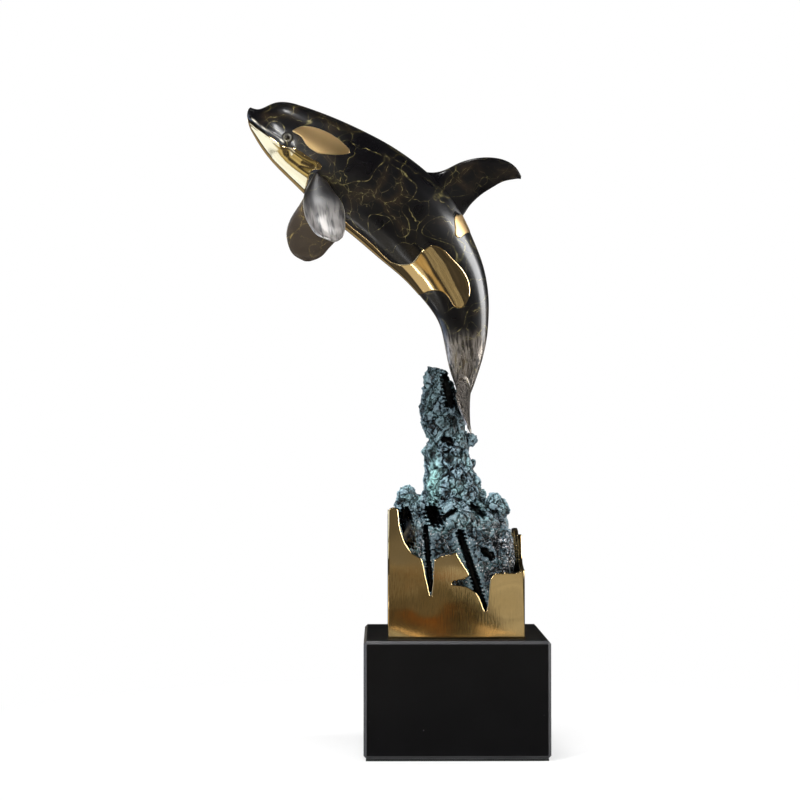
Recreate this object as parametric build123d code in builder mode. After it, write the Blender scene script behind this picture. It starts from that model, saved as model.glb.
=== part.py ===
from build123d import *

import math
import os

# Orca figurine: a hollow cast orca with brass inlays, leaping from a patinated water column.
# The column stands in a torn polished brass block, which is bolted to a black stone plinth on felt.
# Millimetres, +Z up, -X towards the orca's head, -Y towards its left flank.
# The origin is the middle of the felt's underside.

# Felt and stone plinth
FELT_THICKNESS = 2.0
FELT_INSET = 2.0
PLINTH_WIDTH = 160.0
PLINTH_DEPTH = 160.0
PLINTH_HEIGHT = 100.0
PLINTH_CHAMFER = 2.5

# Hexagon bolts that hold the block to the plinth
BOLT_DIAMETER = 8.0
BOLT_GRIP = 13.5
BOLT_HOLE_SPARE = 2.0
BOLT_HEAD_FLATS = 13.0
BOLT_HEAD_HEIGHT = 5.3
BOLT_CLEARANCE = 0.5
WASHER_DIAMETER = 16.0
WASHER_THICKNESS = 1.6
COUNTERBORE_DIAMETER = 22.0
COUNTERBORE_DEPTH = 40.0

# Brass block: a cast wall with a torn rim, and bosses at its foot
BLOCK_WIDTH = 118.0
BLOCK_DEPTH = 118.0
BLOCK_HEIGHT = 113.0
BLOCK_WALL = 4.0
BLOCK_CORNER_RADIUS = 3.0
BOSS_SIZE = 16.0
BOSS_HEIGHT = 18.0

# Socket screws that hold the column in the block
SCREW_DIAMETER = 6.0
SCREW_GRIP = 12.0
SCREW_HEAD_DIAMETER = 10.0
SCREW_HEAD_HEIGHT = 6.0
SCREW_CLEARANCE = 0.3
SCREW_HEAD_RECESS = 7.0
LUG_HEIGHT = 24.0

# Torn rim: place along the wall, -1 to 1 of its half width, and height, 0 to 1 of the block's height
FRONT_RIM = [
    (-1.0, 0.98), (-0.97, 1.00), (-0.86, 1.00), (-0.82, 0.83), (-0.75, 0.72), (-0.65, 0.65),
    (-0.50, 0.60), (-0.46, 0.49), (-0.37, 0.31), (-0.34, 0.42), (-0.33, 0.60), (-0.24, 0.63),
    (-0.07, 0.64), (-0.02, 0.66), (0.05, 0.60), (0.20, 0.48), (0.08, 0.44), (-0.07, 0.43),
    (-0.07, 0.41), (0.15, 0.40), (0.32, 0.34), (0.42, 0.20), (0.46, 0.24), (0.49, 0.45),
    (0.56, 0.50), (0.86, 0.50), (1.0, 0.52),
]
BACK_RIM = [
    (-1.0, 0.95), (-0.80, 0.88), (-0.62, 0.68), (-0.45, 0.61), (-0.38, 0.38), (-0.33, 0.59),
    (-0.05, 0.66), (0.12, 0.59), (0.24, 0.27), (0.31, 0.56), (0.60, 0.65), (1.0, 0.79),
]
LEFT_RIM = [
    (-1.0, 0.98), (-0.55, 0.93), (-0.34, 0.73), (-0.20, 0.45), (-0.12, 0.70), (0.20, 0.81),
    (0.55, 0.73), (1.0, 0.95),
]
RIGHT_RIM = [
    (-1.0, 0.52), (-0.82, 0.68), (-0.60, 0.79), (-0.25, 0.73), (-0.10, 0.47), (0.02, 0.70),
    (0.50, 0.81), (1.0, 0.79),
]

# Water column: its height above the plinth and its outline, as middle x, middle y, half x, half y
COLUMN_HEIGHT = 237.0
COLUMN_CLEARANCE = 0.3
COLUMN_WALL = 6.0
COLUMN_SIDES = 16
COLUMN_ROUGHNESS = 0.14
SQUARE_POWER = 9.0
ROUND_POWER = 2.2
# Shoulders inside the block, from their depth below the block's top
COLUMN_SHOULDERS = [
    (58.0, 0.5, 0.0, 54.0, 54.0),
    (30.0, 0.0, 0.0, 50.0, 50.0),
    (12.0, -2.0, 0.0, 42.0, 41.0),
]
# Trunk above the block, from the share of its height
COLUMN_TRUNK = [
    (0.10, -3.0, 0.0, 33.0, 34.0),
    (0.24, -2.5, 0.0, 27.0, 28.0),
    (0.47, -5.0, 0.0, 25.0, 26.0),
    (0.71, -9.5, 0.0, 24.0, 24.0),
    (0.90, -13.0, 0.0, 16.0, 18.0),
    (1.0, -16.5, 0.0, 6.0, 7.0),
]
CAVITY_RADIUS = 20.0
CAVITY_ROOF = 12.0

# Boulders of foam on the column's shoulders: middle x, middle y, height above the block's top, radii
BOULDERS = [
    (-36.0, -24.0, 0.0, 17.0, 16.0, 18.0),
    (-32.0, 26.0, -4.0, 19.0, 17.0, 18.0),
    (-42.0, 2.0, -8.0, 11.0, 15.0, 16.0),
    (34.0, -20.0, -6.0, 14.0, 17.0, 16.0),
    (33.0, 24.0, -10.0, 18.0, 17.0, 17.0),
    (40.0, 4.0, -16.0, 11.0, 15.0, 16.0),
    (-2.0, -34.0, -10.0, 18.0, 12.0, 18.0),
    (0.0, 36.0, -10.0, 20.0, 12.0, 18.0),
    (-22.0, -8.0, 44.0, 10.0, 14.0, 20.0),
    (12.0, 9.0, 22.0, 12.0, 14.0, 18.0),
    (12.0, -2.0, 57.0, 8.0, 10.0, 12.0),
]
BOULDER_SIDES = 8
BOULDER_ROUGHNESS = 0.3
BOULDER_LEVELS = [-0.9, -0.3, 0.3, 0.75, 0.96]

# Threaded rod that carries the orca, in the column and the tail stock
ROD_X = 9.0
ROD_DIAMETER = 6.0
ROD_REACH_UP = 30.0
ROD_END_BELOW_NUT = 3.0
ROD_CLEARANCE = 0.2
NUT_FLATS = 10.0
NUT_HEIGHT = 5.0
ROD_WASHER_DIAMETER = 18.0
ROD_WASHER_THICKNESS = 2.0

# Orca body, beak to tail: back point, belly point and half width.
# The points are x from the rod's axis and z above the column's top.
RING_POINTS = 8
BEAK_RADIUS = 6.9
BEAK_SETBACK = 2.9
BODY_STATIONS = [
    ((-187.7, 231.8), (-191.7, 219.4), 6.3),
    ((-176.5, 233.0), (-190.0, 212.0), 11.0),
    ((-162.5, 236.5), (-185.8, 203.0), 18.5),
    ((-146.5, 233.5), (-176.8, 190.0), 24.0),
    ((-110.7, 220.0), (-153.6, 165.0), 31.5),
    ((-70.5, 200.5), (-125.0, 138.0), 37.0),
    ((-34.8, 175.5), (-95.6, 114.0), 38.0),
    ((-8.0, 146.0), (-73.2, 95.0), 35.0),
    ((7.2, 116.5), (-54.5, 79.5), 28.5),
    ((18.8, 84.3), (-37.9, 61.5), 21.5),
    ((22.4, 52.0), (-23.7, 41.4), 15.5),
    ((19.7, 20.0), (-17.4, 20.0), 11.0),
    ((12.5, -6.8), (-12.0, -5.0), 8.0),
    ((8.1, -19.3), (-8.0, -16.6), 7.0),
]
BODY_WALL = 5.0
HOLLOW_STATIONS = slice(2, 10)

# Brass inlays set in the body: depth of seat, how far they stand proud, and outlines seen from the side
INLAY_SEAT = 1.6
INLAY_PROUD = 0.4
INLAY_REACH = 60.0
EYE_PATCH = [
    (-153.1, 211.5), (-141.3, 215.2), (-127.0, 212.5), (-113.6, 204.9), (-102.6, 193.0),
    (-106.4, 189.4), (-118.8, 188.9), (-133.1, 191.5), (-142.4, 198.6),
]
THROAT = [
    (-197.0, 224.0), (-178.9, 209.2), (-168.3, 203.0), (-161.4, 197.4), (-154.5, 196.7),
    (-143.2, 191.0), (-133.8, 185.1), (-126.9, 179.1), (-128.2, 176.0), (-133.8, 176.0),
    (-137.0, 173.0), (-139.5, 165.0), (-143.0, 155.0), (-170.0, 160.0), (-205.0, 205.0),
]
BELLY = [
    (-119.0, 141.5), (-107.0, 131.5), (-95.0, 121.0), (-78.0, 106.0), (-62.0, 92.5),
    (-53.6, 91.4), (-46.4, 93.2), (-41.1, 99.5), (-34.8, 105.7), (-28.6, 108.9), (-21.4, 107.5),
    (-12.5, 99.5), (-1.8, 87.9), (4.5, 76.2), (5.4, 63.7), (2.7, 56.6), (-2.7, 51.2),
    (-8.0, 53.0), (-12.5, 59.3), (-16.9, 64.6), (-24.1, 67.3), (-30.3, 66.9), (-45.0, 62.0),
    (-75.0, 78.0), (-130.0, 128.0),
]
SADDLE = [
    (-7.1, 131.6), (-3.5, 133.5), (8.0, 133.5), (14.0, 117.0), (3.0, 116.0), (-3.0, 115.0),
    (-8.9, 117.3), (-7.1, 123.6),
]

# Dorsal fin: front and rear edge points and half thickness, root first
DORSAL_STATIONS = [
    ((-26.0, 165.0), (-5.0, 130.0), 5.5),
    ((-15.2, 176.7), (3.6, 142.3), 4.6),
    ((-1.8, 183.0), (11.6, 150.4), 4.0),
    ((12.5, 186.6), (22.4, 158.9), 3.4),
    ((26.8, 187.2), (34.0, 165.1), 2.8),
    ((39.3, 183.9), (42.9, 167.4), 2.1),
    ((48.3, 176.7), (48.7, 168.2), 1.3),
]

# Flippers: front and rear edge points as x, y, z, and half thickness, root first
LEFT_FLIPPER_STATIONS = [
    ((-135.0, -22.0, 173.0), (-119.0, -22.0, 164.0), 4.5),
    ((-137.2, -36.0, 155.6), (-115.0, -36.0, 149.7), 4.2),
    ((-140.5, -48.0, 141.0), (-109.0, -48.0, 136.5), 3.8),
    ((-139.4, -60.0, 128.8), (-105.0, -60.0, 122.5), 3.2),
    ((-132.8, -70.0, 116.7), (-104.8, -70.0, 111.0), 2.6),
    ((-124.2, -78.0, 106.5), (-108.4, -78.0, 103.9), 1.8),
    ((-119.0, -81.0, 103.4), (-113.0, -81.0, 102.4), 1.0),
]
RIGHT_FLIPPER_STATIONS = [
    ((-135.0, 22.0, 173.0), (-119.0, 22.0, 164.0), 4.5),
    ((-140.8, 34.0, 164.3), (-116.8, 34.0, 157.0), 4.2),
    ((-148.8, 42.0, 150.0), (-113.0, 42.0, 144.0), 3.8),
    ((-157.3, 49.0, 137.7), (-112.0, 49.0, 130.5), 3.2),
    ((-161.5, 55.0, 122.8), (-115.2, 55.0, 118.7), 2.7),
    ((-158.7, 59.0, 110.8), (-123.7, 59.0, 109.7), 2.2),
    ((-150.6, 62.0, 102.8), (-134.0, 62.0, 101.7), 1.6),
    ((-145.5, 63.5, 100.2), (-139.5, 63.5, 99.9), 1.0),
]

# Tail flukes, left tip to right tip: leading and trailing edge points and half thickness
FLUKE_STATIONS = [
    ((3.0, -54.0, -53.0), (4.0, -54.0, -62.0), 1.2),
    ((2.0, -42.0, -37.0), (4.0, -42.0, -58.0), 2.2),
    ((1.0, -24.0, -19.0), (3.0, -24.0, -52.0), 3.6),
    ((0.0, 0.0, -4.0), (1.0, 0.0, -42.0), 5.6),
    ((1.0, 24.0, -19.0), (3.0, 24.0, -52.0), 3.6),
    ((2.0, 42.0, -37.0), (4.0, 42.0, -58.0), 2.2),
    ((3.0, 54.0, -53.0), (4.0, 54.0, -62.0), 1.2),
]

# Dowels that pin the fins to the body: diameter, length each side of the skin, and their place,
# as a share of the root's chord each side of its middle
DOWEL_DIAMETER = 4.0
DOWEL_IN_FIN = 8.0
DOWEL_IN_BODY = 9.0
DOWEL_SPREAD = 0.25
# How far out the skin lies at a fin's root, as a share of the way to the fin's second section
DORSAL_SKIN = 0.25
FLIPPER_SKIN = 0.5

# Levels worked out from the sizes above
PLINTH_TOP = FELT_THICKNESS + PLINTH_HEIGHT
BLOCK_TOP = PLINTH_TOP + BLOCK_HEIGHT
BOSS_TOP = PLINTH_TOP + BOSS_HEIGHT
COLUMN_TOP = PLINTH_TOP + COLUMN_HEIGHT
BOLT_SEAT = FELT_THICKNESS + COUNTERBORE_DEPTH
BOLT_HEAD_TOP = BOLT_SEAT - WASHER_THICKNESS
INNER_X = BLOCK_WIDTH / 2 - BLOCK_WALL
INNER_Y = BLOCK_DEPTH / 2 - BLOCK_WALL
BOSS_X = INNER_X - BOSS_SIZE / 2
BOSS_Y = INNER_Y - BOSS_SIZE / 2
PLUG_X = INNER_X - COLUMN_CLEARANCE
PLUG_Y = INNER_Y - COLUMN_CLEARANCE
CAVITY_TOP = BLOCK_TOP + CAVITY_ROOF
ORCA_FRAME = Vector(ROD_X, 0, COLUMN_TOP)
SIDEWAYS = Vector(0, 1, 0)


def in_orca_frame(point):
    """A point of the orca, given as x, z or x, y, z in its own frame, in the part's frame."""
    x, y, z = point if len(point) == 3 else (point[0], 0, point[1])
    return ORCA_FRAME + Vector(x, y, z)


def ring(front, rear, half_thickness, thick_way, grow=0.0):
    """An elliptical section whose long axis runs between two points of the orca."""
    chord = in_orca_frame(front) - in_orca_frame(rear)
    middle = (in_orca_frame(front) + in_orca_frame(rear)) / 2
    plane = Plane(origin=middle, x_dir=chord, z_dir=chord.cross(thick_way))
    long_radius, short_radius = chord.length / 2 + grow, half_thickness + grow
    turns = [2 * math.pi * i / RING_POINTS for i in range(RING_POINTS)]
    with BuildSketch(plane) as section:
        with BuildLine():
            Spline(
                *[(long_radius * math.cos(turn), short_radius * math.sin(turn)) for turn in turns],
                periodic=True,
            )
        make_face()
    return section.sketch


def body_rings(stations, grow=0.0):
    """The sections of the body, larger all round by grow."""
    return [ring(back, belly, width, SIDEWAYS, grow) for back, belly, width in stations]


def beak_middle():
    """The middle of the ball that rounds the beak, a little behind the first section."""
    first, second = (
        (in_orca_frame(back) + in_orca_frame(belly)) / 2 for back, belly, _ in BODY_STATIONS[:2]
    )
    return first + (second - first).normalized() * BEAK_SETBACK


def blade_rings(stations):
    """The sections of a flipper, each across the line from its root to its tip."""
    middles = [(Vector(*front) + Vector(*rear)) / 2 for front, rear, _ in stations]
    span = middles[-1] - middles[0]
    rings = []
    for front, rear, half_thickness in stations:
        chord = Vector(*front) - Vector(*rear)
        rings.append(ring(front, rear, half_thickness, chord.cross(span)))
    return rings


def side_outline(points):
    """A smooth closed outline of the orca seen from its side, as a face in the middle plane."""
    with BuildSketch(Plane.XZ) as outline:
        with BuildLine():
            places = [in_orca_frame(point) for point in points]
            Spline(*[(place.X, place.Z) for place in places], periodic=True)
        make_face()
    return outline.sketch


def rim_outline(rim, half_width, plane):
    """The face above a wall's torn rim, in the wall's plane, with its top above the block."""
    top = BLOCK_TOP + BLOCK_WALL
    edge = [(along * half_width, PLINTH_TOP + up * BLOCK_HEIGHT) for along, up in rim]
    past = half_width + BLOCK_WALL
    corners = [(past, edge[-1][1]), (past, top), (-past, top), (-past, edge[0][1])]
    with BuildSketch(plane) as outline:
        Polygon(*edge, *corners, align=None)
    return outline.sketch


def rough_ring(x, y, half_x, half_y, z, power, turn, sides, roughness):
    """A many-sided ring of the column, squarer with a higher power, its sides uneven by a sum of waves."""
    corners = []
    for i in range(sides):
        angle = 2 * math.pi * i / sides
        c, s = math.cos(angle), math.sin(angle)
        wave = (2 + math.sin(3 * angle + turn) + math.sin(5 * angle - 2 * turn)) / 4
        reach = (abs(c) ** power + abs(s) ** power) ** (-1 / power) * (1 - roughness * wave)
        corners.append((x + half_x * reach * c, y + half_y * reach * s))
    with BuildSketch(Plane.XY.offset(z)) as outline:
        Polygon(*corners, align=None)
    return outline.sketch


def column_rings():
    """The sections of the column, from its seat on the bosses to its top."""
    levels = [(BOSS_TOP, 0, 0, PLUG_X, PLUG_Y, SQUARE_POWER, 0)]
    for drop, x, y, half_x, half_y in COLUMN_SHOULDERS:
        level = BLOCK_TOP - drop
        levels.append((level, x, y, min(half_x, PLUG_X), min(half_y, PLUG_Y), SQUARE_POWER, 0))
    for share, x, y, half_x, half_y in COLUMN_TRUNK:
        level = BLOCK_TOP + share * (COLUMN_TOP - BLOCK_TOP)
        levels.append((level, x, y, half_x, half_y, ROUND_POWER, COLUMN_ROUGHNESS))
    return [
        rough_ring(x, y, half_x, half_y, z, power, turn, COLUMN_SIDES, roughness)
        for turn, (z, x, y, half_x, half_y, power, roughness) in enumerate(levels)
    ]


def boulder_rings(x, y, rise, radius_x, radius_y, radius_z):
    """The sections of one boulder, bottom to top."""
    rings = []
    for turn, level in enumerate(BOULDER_LEVELS):
        spread = math.sqrt(1 - level**2)
        z = BLOCK_TOP + rise + level * radius_z
        rings.append(
            rough_ring(
                x, y, radius_x * spread, radius_y * spread, z, ROUND_POWER, turn + x,
                BOULDER_SIDES, BOULDER_ROUGHNESS,
            )
        )
    return rings


def dowel_planes(stations, skin):
    """Planes on the skin at a fin's root, one for each dowel, facing into the fin."""
    front, rear = (in_orca_frame(point) for point in stations[0][:2])
    far_front, far_rear = (in_orca_frame(point) for point in stations[1][:2])
    outwards = (far_front + far_rear) / 2 - (front + rear) / 2
    middle = (front + rear) / 2 + outwards * skin
    places = [middle + (front - rear) * share for share in (-DOWEL_SPREAD, DOWEL_SPREAD)]
    return [Plane(place, z_dir=outwards) for place in places]


def save(piece, name):
    """Labels a finished piece and writes it to its own file."""
    piece.part.label = name
    export_step(piece.part, f"parts/{name}.step")


os.makedirs("parts", exist_ok=True)

# Felt pad
with BuildPart() as felt_pad:
    Box(
        PLINTH_WIDTH - 2 * FELT_INSET, PLINTH_DEPTH - 2 * FELT_INSET, FELT_THICKNESS,
        align=(Align.CENTER, Align.CENTER, Align.MIN),
    )
save(felt_pad, "felt_pad")

# Stone plinth, drilled and counterbored from below
with BuildPart() as plinth:
    with BuildSketch(Plane.XY.offset(FELT_THICKNESS)):
        Rectangle(PLINTH_WIDTH, PLINTH_DEPTH)
    extrude(amount=PLINTH_HEIGHT)
    chamfer(plinth.edges(), length=PLINTH_CHAMFER)
    with Locations(Plane(origin=(0, 0, FELT_THICKNESS), z_dir=(0, 0, -1))):
        with GridLocations(2 * BOSS_X, 2 * BOSS_Y, 2, 2):
            CounterBoreHole(
                BOLT_DIAMETER / 2 + BOLT_CLEARANCE, COUNTERBORE_DIAMETER / 2, COUNTERBORE_DEPTH
            )
save(plinth, "plinth")

# Washers and bolts, from below
with BuildPart() as base_washers:
    with BuildSketch(Plane.XY.offset(BOLT_HEAD_TOP)):
        with GridLocations(2 * BOSS_X, 2 * BOSS_Y, 2, 2):
            Circle(WASHER_DIAMETER / 2)
            Circle(BOLT_DIAMETER / 2 + BOLT_CLEARANCE / 2, mode=Mode.SUBTRACT)
    extrude(amount=WASHER_THICKNESS)
save(base_washers, "base_washers")

with BuildPart() as base_bolts:
    with BuildSketch(Plane.XY.offset(BOLT_HEAD_TOP)):
        with GridLocations(2 * BOSS_X, 2 * BOSS_Y, 2, 2):
            RegularPolygon(BOLT_HEAD_FLATS / 2, 6, major_radius=False)
    extrude(amount=-BOLT_HEAD_HEIGHT)
    with BuildSketch(Plane.XY.offset(BOLT_HEAD_TOP)):
        with GridLocations(2 * BOSS_X, 2 * BOSS_Y, 2, 2):
            Circle(BOLT_DIAMETER / 2)
    extrude(amount=PLINTH_TOP + BOLT_GRIP - BOLT_HEAD_TOP)
save(base_bolts, "base_bolts")

# Brass block
with BuildPart() as base_block:
    with BuildSketch(Plane.XY.offset(PLINTH_TOP)):
        RectangleRounded(BLOCK_WIDTH, BLOCK_DEPTH, BLOCK_CORNER_RADIUS)
        Rectangle(2 * INNER_X, 2 * INNER_Y, mode=Mode.SUBTRACT)
    extrude(amount=BLOCK_HEIGHT)
    # The rim of each wall, cut through that wall alone
    front_wall = Plane.XZ.offset(BLOCK_DEPTH / 2 - BLOCK_WALL)
    back_wall = Plane.XZ.offset(-BLOCK_DEPTH / 2)
    right_wall = Plane.YZ.offset(BLOCK_WIDTH / 2 - BLOCK_WALL)
    left_wall = Plane.YZ.offset(-BLOCK_WIDTH / 2)
    for rim, half_width, plane in (
        (FRONT_RIM, BLOCK_WIDTH / 2, front_wall),
        (BACK_RIM, BLOCK_WIDTH / 2, back_wall),
        (LEFT_RIM, BLOCK_DEPTH / 2, left_wall),
        (RIGHT_RIM, BLOCK_DEPTH / 2, right_wall),
    ):
        extrude(rim_outline(rim, half_width, plane), amount=BLOCK_WALL, mode=Mode.SUBTRACT)
    # Corner bosses tapped for the bolts, side bosses drilled for the screws
    with BuildSketch(Plane.XY.offset(PLINTH_TOP)):
        with GridLocations(2 * BOSS_X, 2 * BOSS_Y, 2, 2):
            Rectangle(BOSS_SIZE, BOSS_SIZE)
        with GridLocations(2 * BOSS_X, 0, 2, 1):
            Rectangle(BOSS_SIZE, BOSS_SIZE)
    extrude(amount=BOSS_HEIGHT)
    with Locations(Plane(origin=(0, 0, PLINTH_TOP), z_dir=(0, 0, -1))):
        with GridLocations(2 * BOSS_X, 2 * BOSS_Y, 2, 2):
            Hole(BOLT_DIAMETER / 2, depth=BOLT_GRIP + BOLT_HOLE_SPARE)
        with GridLocations(2 * BOSS_X, 0, 2, 1):
            CounterBoreHole(
                SCREW_DIAMETER / 2 + SCREW_CLEARANCE,
                SCREW_HEAD_DIAMETER / 2 + SCREW_CLEARANCE,
                SCREW_HEAD_RECESS,
                depth=BOSS_HEIGHT,
            )
save(base_block, "base_block")

# Screws that draw the column down on the side bosses
with BuildPart() as column_screws:
    screw_seat = PLINTH_TOP + SCREW_HEAD_RECESS
    with BuildSketch(Plane.XY.offset(screw_seat)):
        with GridLocations(2 * BOSS_X, 0, 2, 1):
            Circle(SCREW_HEAD_DIAMETER / 2)
    extrude(amount=-SCREW_HEAD_HEIGHT)
    with BuildSketch(Plane.XY.offset(screw_seat)):
        with GridLocations(2 * BOSS_X, 0, 2, 1):
            Circle(SCREW_DIAMETER / 2)
    extrude(amount=BOSS_HEIGHT - SCREW_HEAD_RECESS + SCREW_GRIP)
save(column_screws, "column_screws")

# Orca's skin as it is with the inlays proud of it, and the floor of their seats
with BuildPart() as inlay_crown:
    loft(sections=body_rings(BODY_STATIONS, INLAY_PROUD))
    with Locations(beak_middle()):
        Sphere(BEAK_RADIUS + INLAY_PROUD)

with BuildPart() as inlay_floor:
    loft(sections=body_rings(BODY_STATIONS, -INLAY_SEAT))

# Brass inlays
with BuildPart() as eye_patch_left:
    extrude(side_outline(EYE_PATCH), amount=INLAY_REACH)
    add(inlay_crown.part, mode=Mode.INTERSECT)
    add(inlay_floor.part, mode=Mode.SUBTRACT)
save(eye_patch_left, "eye_patch_left")

with BuildPart() as eye_patch_right:
    extrude(side_outline(EYE_PATCH), amount=-INLAY_REACH)
    add(inlay_crown.part, mode=Mode.INTERSECT)
    add(inlay_floor.part, mode=Mode.SUBTRACT)
save(eye_patch_right, "eye_patch_right")

with BuildPart() as throat_inlay:
    extrude(side_outline(THROAT), amount=INLAY_REACH, both=True)
    add(inlay_crown.part, mode=Mode.INTERSECT)
    add(inlay_floor.part, mode=Mode.SUBTRACT)
save(throat_inlay, "throat_inlay")

with BuildPart() as belly_inlay:
    extrude(side_outline(BELLY), amount=INLAY_REACH, both=True)
    add(inlay_crown.part, mode=Mode.INTERSECT)
    add(inlay_floor.part, mode=Mode.SUBTRACT)
save(belly_inlay, "belly_inlay")

with BuildPart() as saddle_inlay:
    extrude(side_outline(SADDLE), amount=INLAY_REACH, both=True)
    add(inlay_crown.part, mode=Mode.INTERSECT)
    add(inlay_floor.part, mode=Mode.SUBTRACT)
save(saddle_inlay, "saddle_inlay")

# Dowels in the roots of the dorsal fin and the flippers
with BuildPart() as dorsal_dowels:
    for plane in dowel_planes(DORSAL_STATIONS, DORSAL_SKIN):
        with BuildSketch(plane.offset(-DOWEL_IN_BODY)):
            Circle(DOWEL_DIAMETER / 2)
        extrude(amount=DOWEL_IN_BODY + DOWEL_IN_FIN)
save(dorsal_dowels, "dorsal_dowels")

with BuildPart() as flipper_dowels:
    for stations in (LEFT_FLIPPER_STATIONS, RIGHT_FLIPPER_STATIONS):
        for plane in dowel_planes(stations, FLIPPER_SKIN):
            with BuildSketch(plane.offset(-DOWEL_IN_BODY)):
                Circle(DOWEL_DIAMETER / 2)
            extrude(amount=DOWEL_IN_BODY + DOWEL_IN_FIN)
save(flipper_dowels, "flipper_dowels")

# Threaded rod with its washer and nut under the roof of the column's cavity
with BuildPart() as support_rod:
    nut_bottom = CAVITY_TOP - ROD_WASHER_THICKNESS - NUT_HEIGHT
    with BuildSketch(Plane.XY.offset(nut_bottom - ROD_END_BELOW_NUT)):
        with Locations((ROD_X, 0)):
            Circle(ROD_DIAMETER / 2)
    extrude(amount=COLUMN_TOP + ROD_REACH_UP - nut_bottom + ROD_END_BELOW_NUT)
save(support_rod, "support_rod")

with BuildPart() as rod_washer:
    with BuildSketch(Plane.XY.offset(CAVITY_TOP)):
        with Locations((ROD_X, 0)):
            Circle(ROD_WASHER_DIAMETER / 2)
            Circle(ROD_DIAMETER / 2 + ROD_CLEARANCE, mode=Mode.SUBTRACT)
    extrude(amount=-ROD_WASHER_THICKNESS)
save(rod_washer, "rod_washer")

with BuildPart() as rod_nut:
    with BuildSketch(Plane.XY.offset(CAVITY_TOP - ROD_WASHER_THICKNESS)):
        with Locations((ROD_X, 0)):
            RegularPolygon(NUT_FLATS / 2, 6, major_radius=False)
            Circle(ROD_DIAMETER / 2, mode=Mode.SUBTRACT)
    extrude(amount=-NUT_HEIGHT)
save(rod_nut, "rod_nut")

# Orca body: hollow from the head to the tail stock, seats cut for the inlays, dowels and rod
with BuildPart() as body_form:
    loft(sections=body_rings(BODY_STATIONS))
    with Locations(beak_middle()):
        Sphere(BEAK_RADIUS)

with BuildPart() as orca_body:
    add(body_form.part)
    loft(sections=body_rings(BODY_STATIONS[HOLLOW_STATIONS], -BODY_WALL), mode=Mode.SUBTRACT)
    for inlay in (eye_patch_left, eye_patch_right, throat_inlay, belly_inlay, saddle_inlay):
        add(inlay.part, mode=Mode.SUBTRACT)
    for insert in (dorsal_dowels, flipper_dowels, support_rod):
        add(insert.part, mode=Mode.SUBTRACT)
save(orca_body, "orca_body")

# Fins, each cut to the body's skin
with BuildPart() as dorsal_fin:
    loft(sections=[ring(front, rear, half, SIDEWAYS) for front, rear, half in DORSAL_STATIONS])
    add(body_form.part, mode=Mode.SUBTRACT)
    add(dorsal_dowels.part, mode=Mode.SUBTRACT)
save(dorsal_fin, "dorsal_fin")

with BuildPart() as flipper_left:
    loft(sections=blade_rings(LEFT_FLIPPER_STATIONS))
    add(body_form.part, mode=Mode.SUBTRACT)
    add(throat_inlay.part, mode=Mode.SUBTRACT)
    add(flipper_dowels.part, mode=Mode.SUBTRACT)
save(flipper_left, "flipper_left")

with BuildPart() as flipper_right:
    loft(sections=blade_rings(RIGHT_FLIPPER_STATIONS))
    add(body_form.part, mode=Mode.SUBTRACT)
    add(throat_inlay.part, mode=Mode.SUBTRACT)
    add(flipper_dowels.part, mode=Mode.SUBTRACT)
save(flipper_right, "flipper_right")

with BuildPart() as tail_flukes:
    loft(sections=[ring(lead, trail, half, Vector(1, 0, 0)) for lead, trail, half in FLUKE_STATIONS])
    add(body_form.part, mode=Mode.SUBTRACT)
    add(support_rod.part, mode=Mode.SUBTRACT)
save(tail_flukes, "tail_flukes")

# Water column: rough outside, hollow below, drilled for the rod and seated on the flukes and tail
with BuildPart() as water_column:
    loft(sections=column_rings(), ruled=True)
    for boulder in BOULDERS:
        loft(sections=boulder_rings(*boulder), ruled=True)
    lower_room_top = BLOCK_TOP - COLUMN_SHOULDERS[0][0] - COLUMN_WALL
    with BuildSketch(Plane.XY.offset(BOSS_TOP)):
        Rectangle(2 * (PLUG_X - COLUMN_WALL), 2 * (PLUG_Y - COLUMN_WALL))
    extrude(amount=lower_room_top - BOSS_TOP, mode=Mode.SUBTRACT)
    with BuildSketch(Plane.XY.offset(BOSS_TOP)):
        Circle(CAVITY_RADIUS)
    extrude(amount=CAVITY_TOP - BOSS_TOP, mode=Mode.SUBTRACT)
    with BuildSketch(Plane.XY.offset(BOSS_TOP)):
        with GridLocations(2 * (BOSS_X - COLUMN_WALL / 2), 0, 2, 1):
            Rectangle(BOSS_SIZE, BOSS_SIZE)
    extrude(amount=LUG_HEIGHT)
    with BuildSketch(Plane.XY.offset(BOSS_TOP)):
        with GridLocations(2 * BOSS_X, 0, 2, 1):
            Circle(SCREW_DIAMETER / 2)
    extrude(amount=SCREW_GRIP, mode=Mode.SUBTRACT)
    with BuildSketch(Plane.XY.offset(CAVITY_TOP)):
        with Locations((ROD_X, 0)):
            Circle(ROD_DIAMETER / 2 + ROD_CLEARANCE)
    extrude(amount=COLUMN_HEIGHT, mode=Mode.SUBTRACT)
    for seated in (body_form, tail_flukes):
        add(seated.part, mode=Mode.SUBTRACT)
save(water_column, "water_column")
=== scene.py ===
"""Looks of the orca figurine.

A cast orca with a gold-veined black patina and brass inlays leaps from a verdigris water column. The
column stands in a torn block of polished brass on a black marble plinth. Each class dresses one
sub-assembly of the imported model. Sizes in the classes are millimetres, and meshes are in metres.
"""
import logging
import math
from collections.abc import Callable, Iterator, Sequence
from dataclasses import dataclass, field
from enum import Enum

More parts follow.
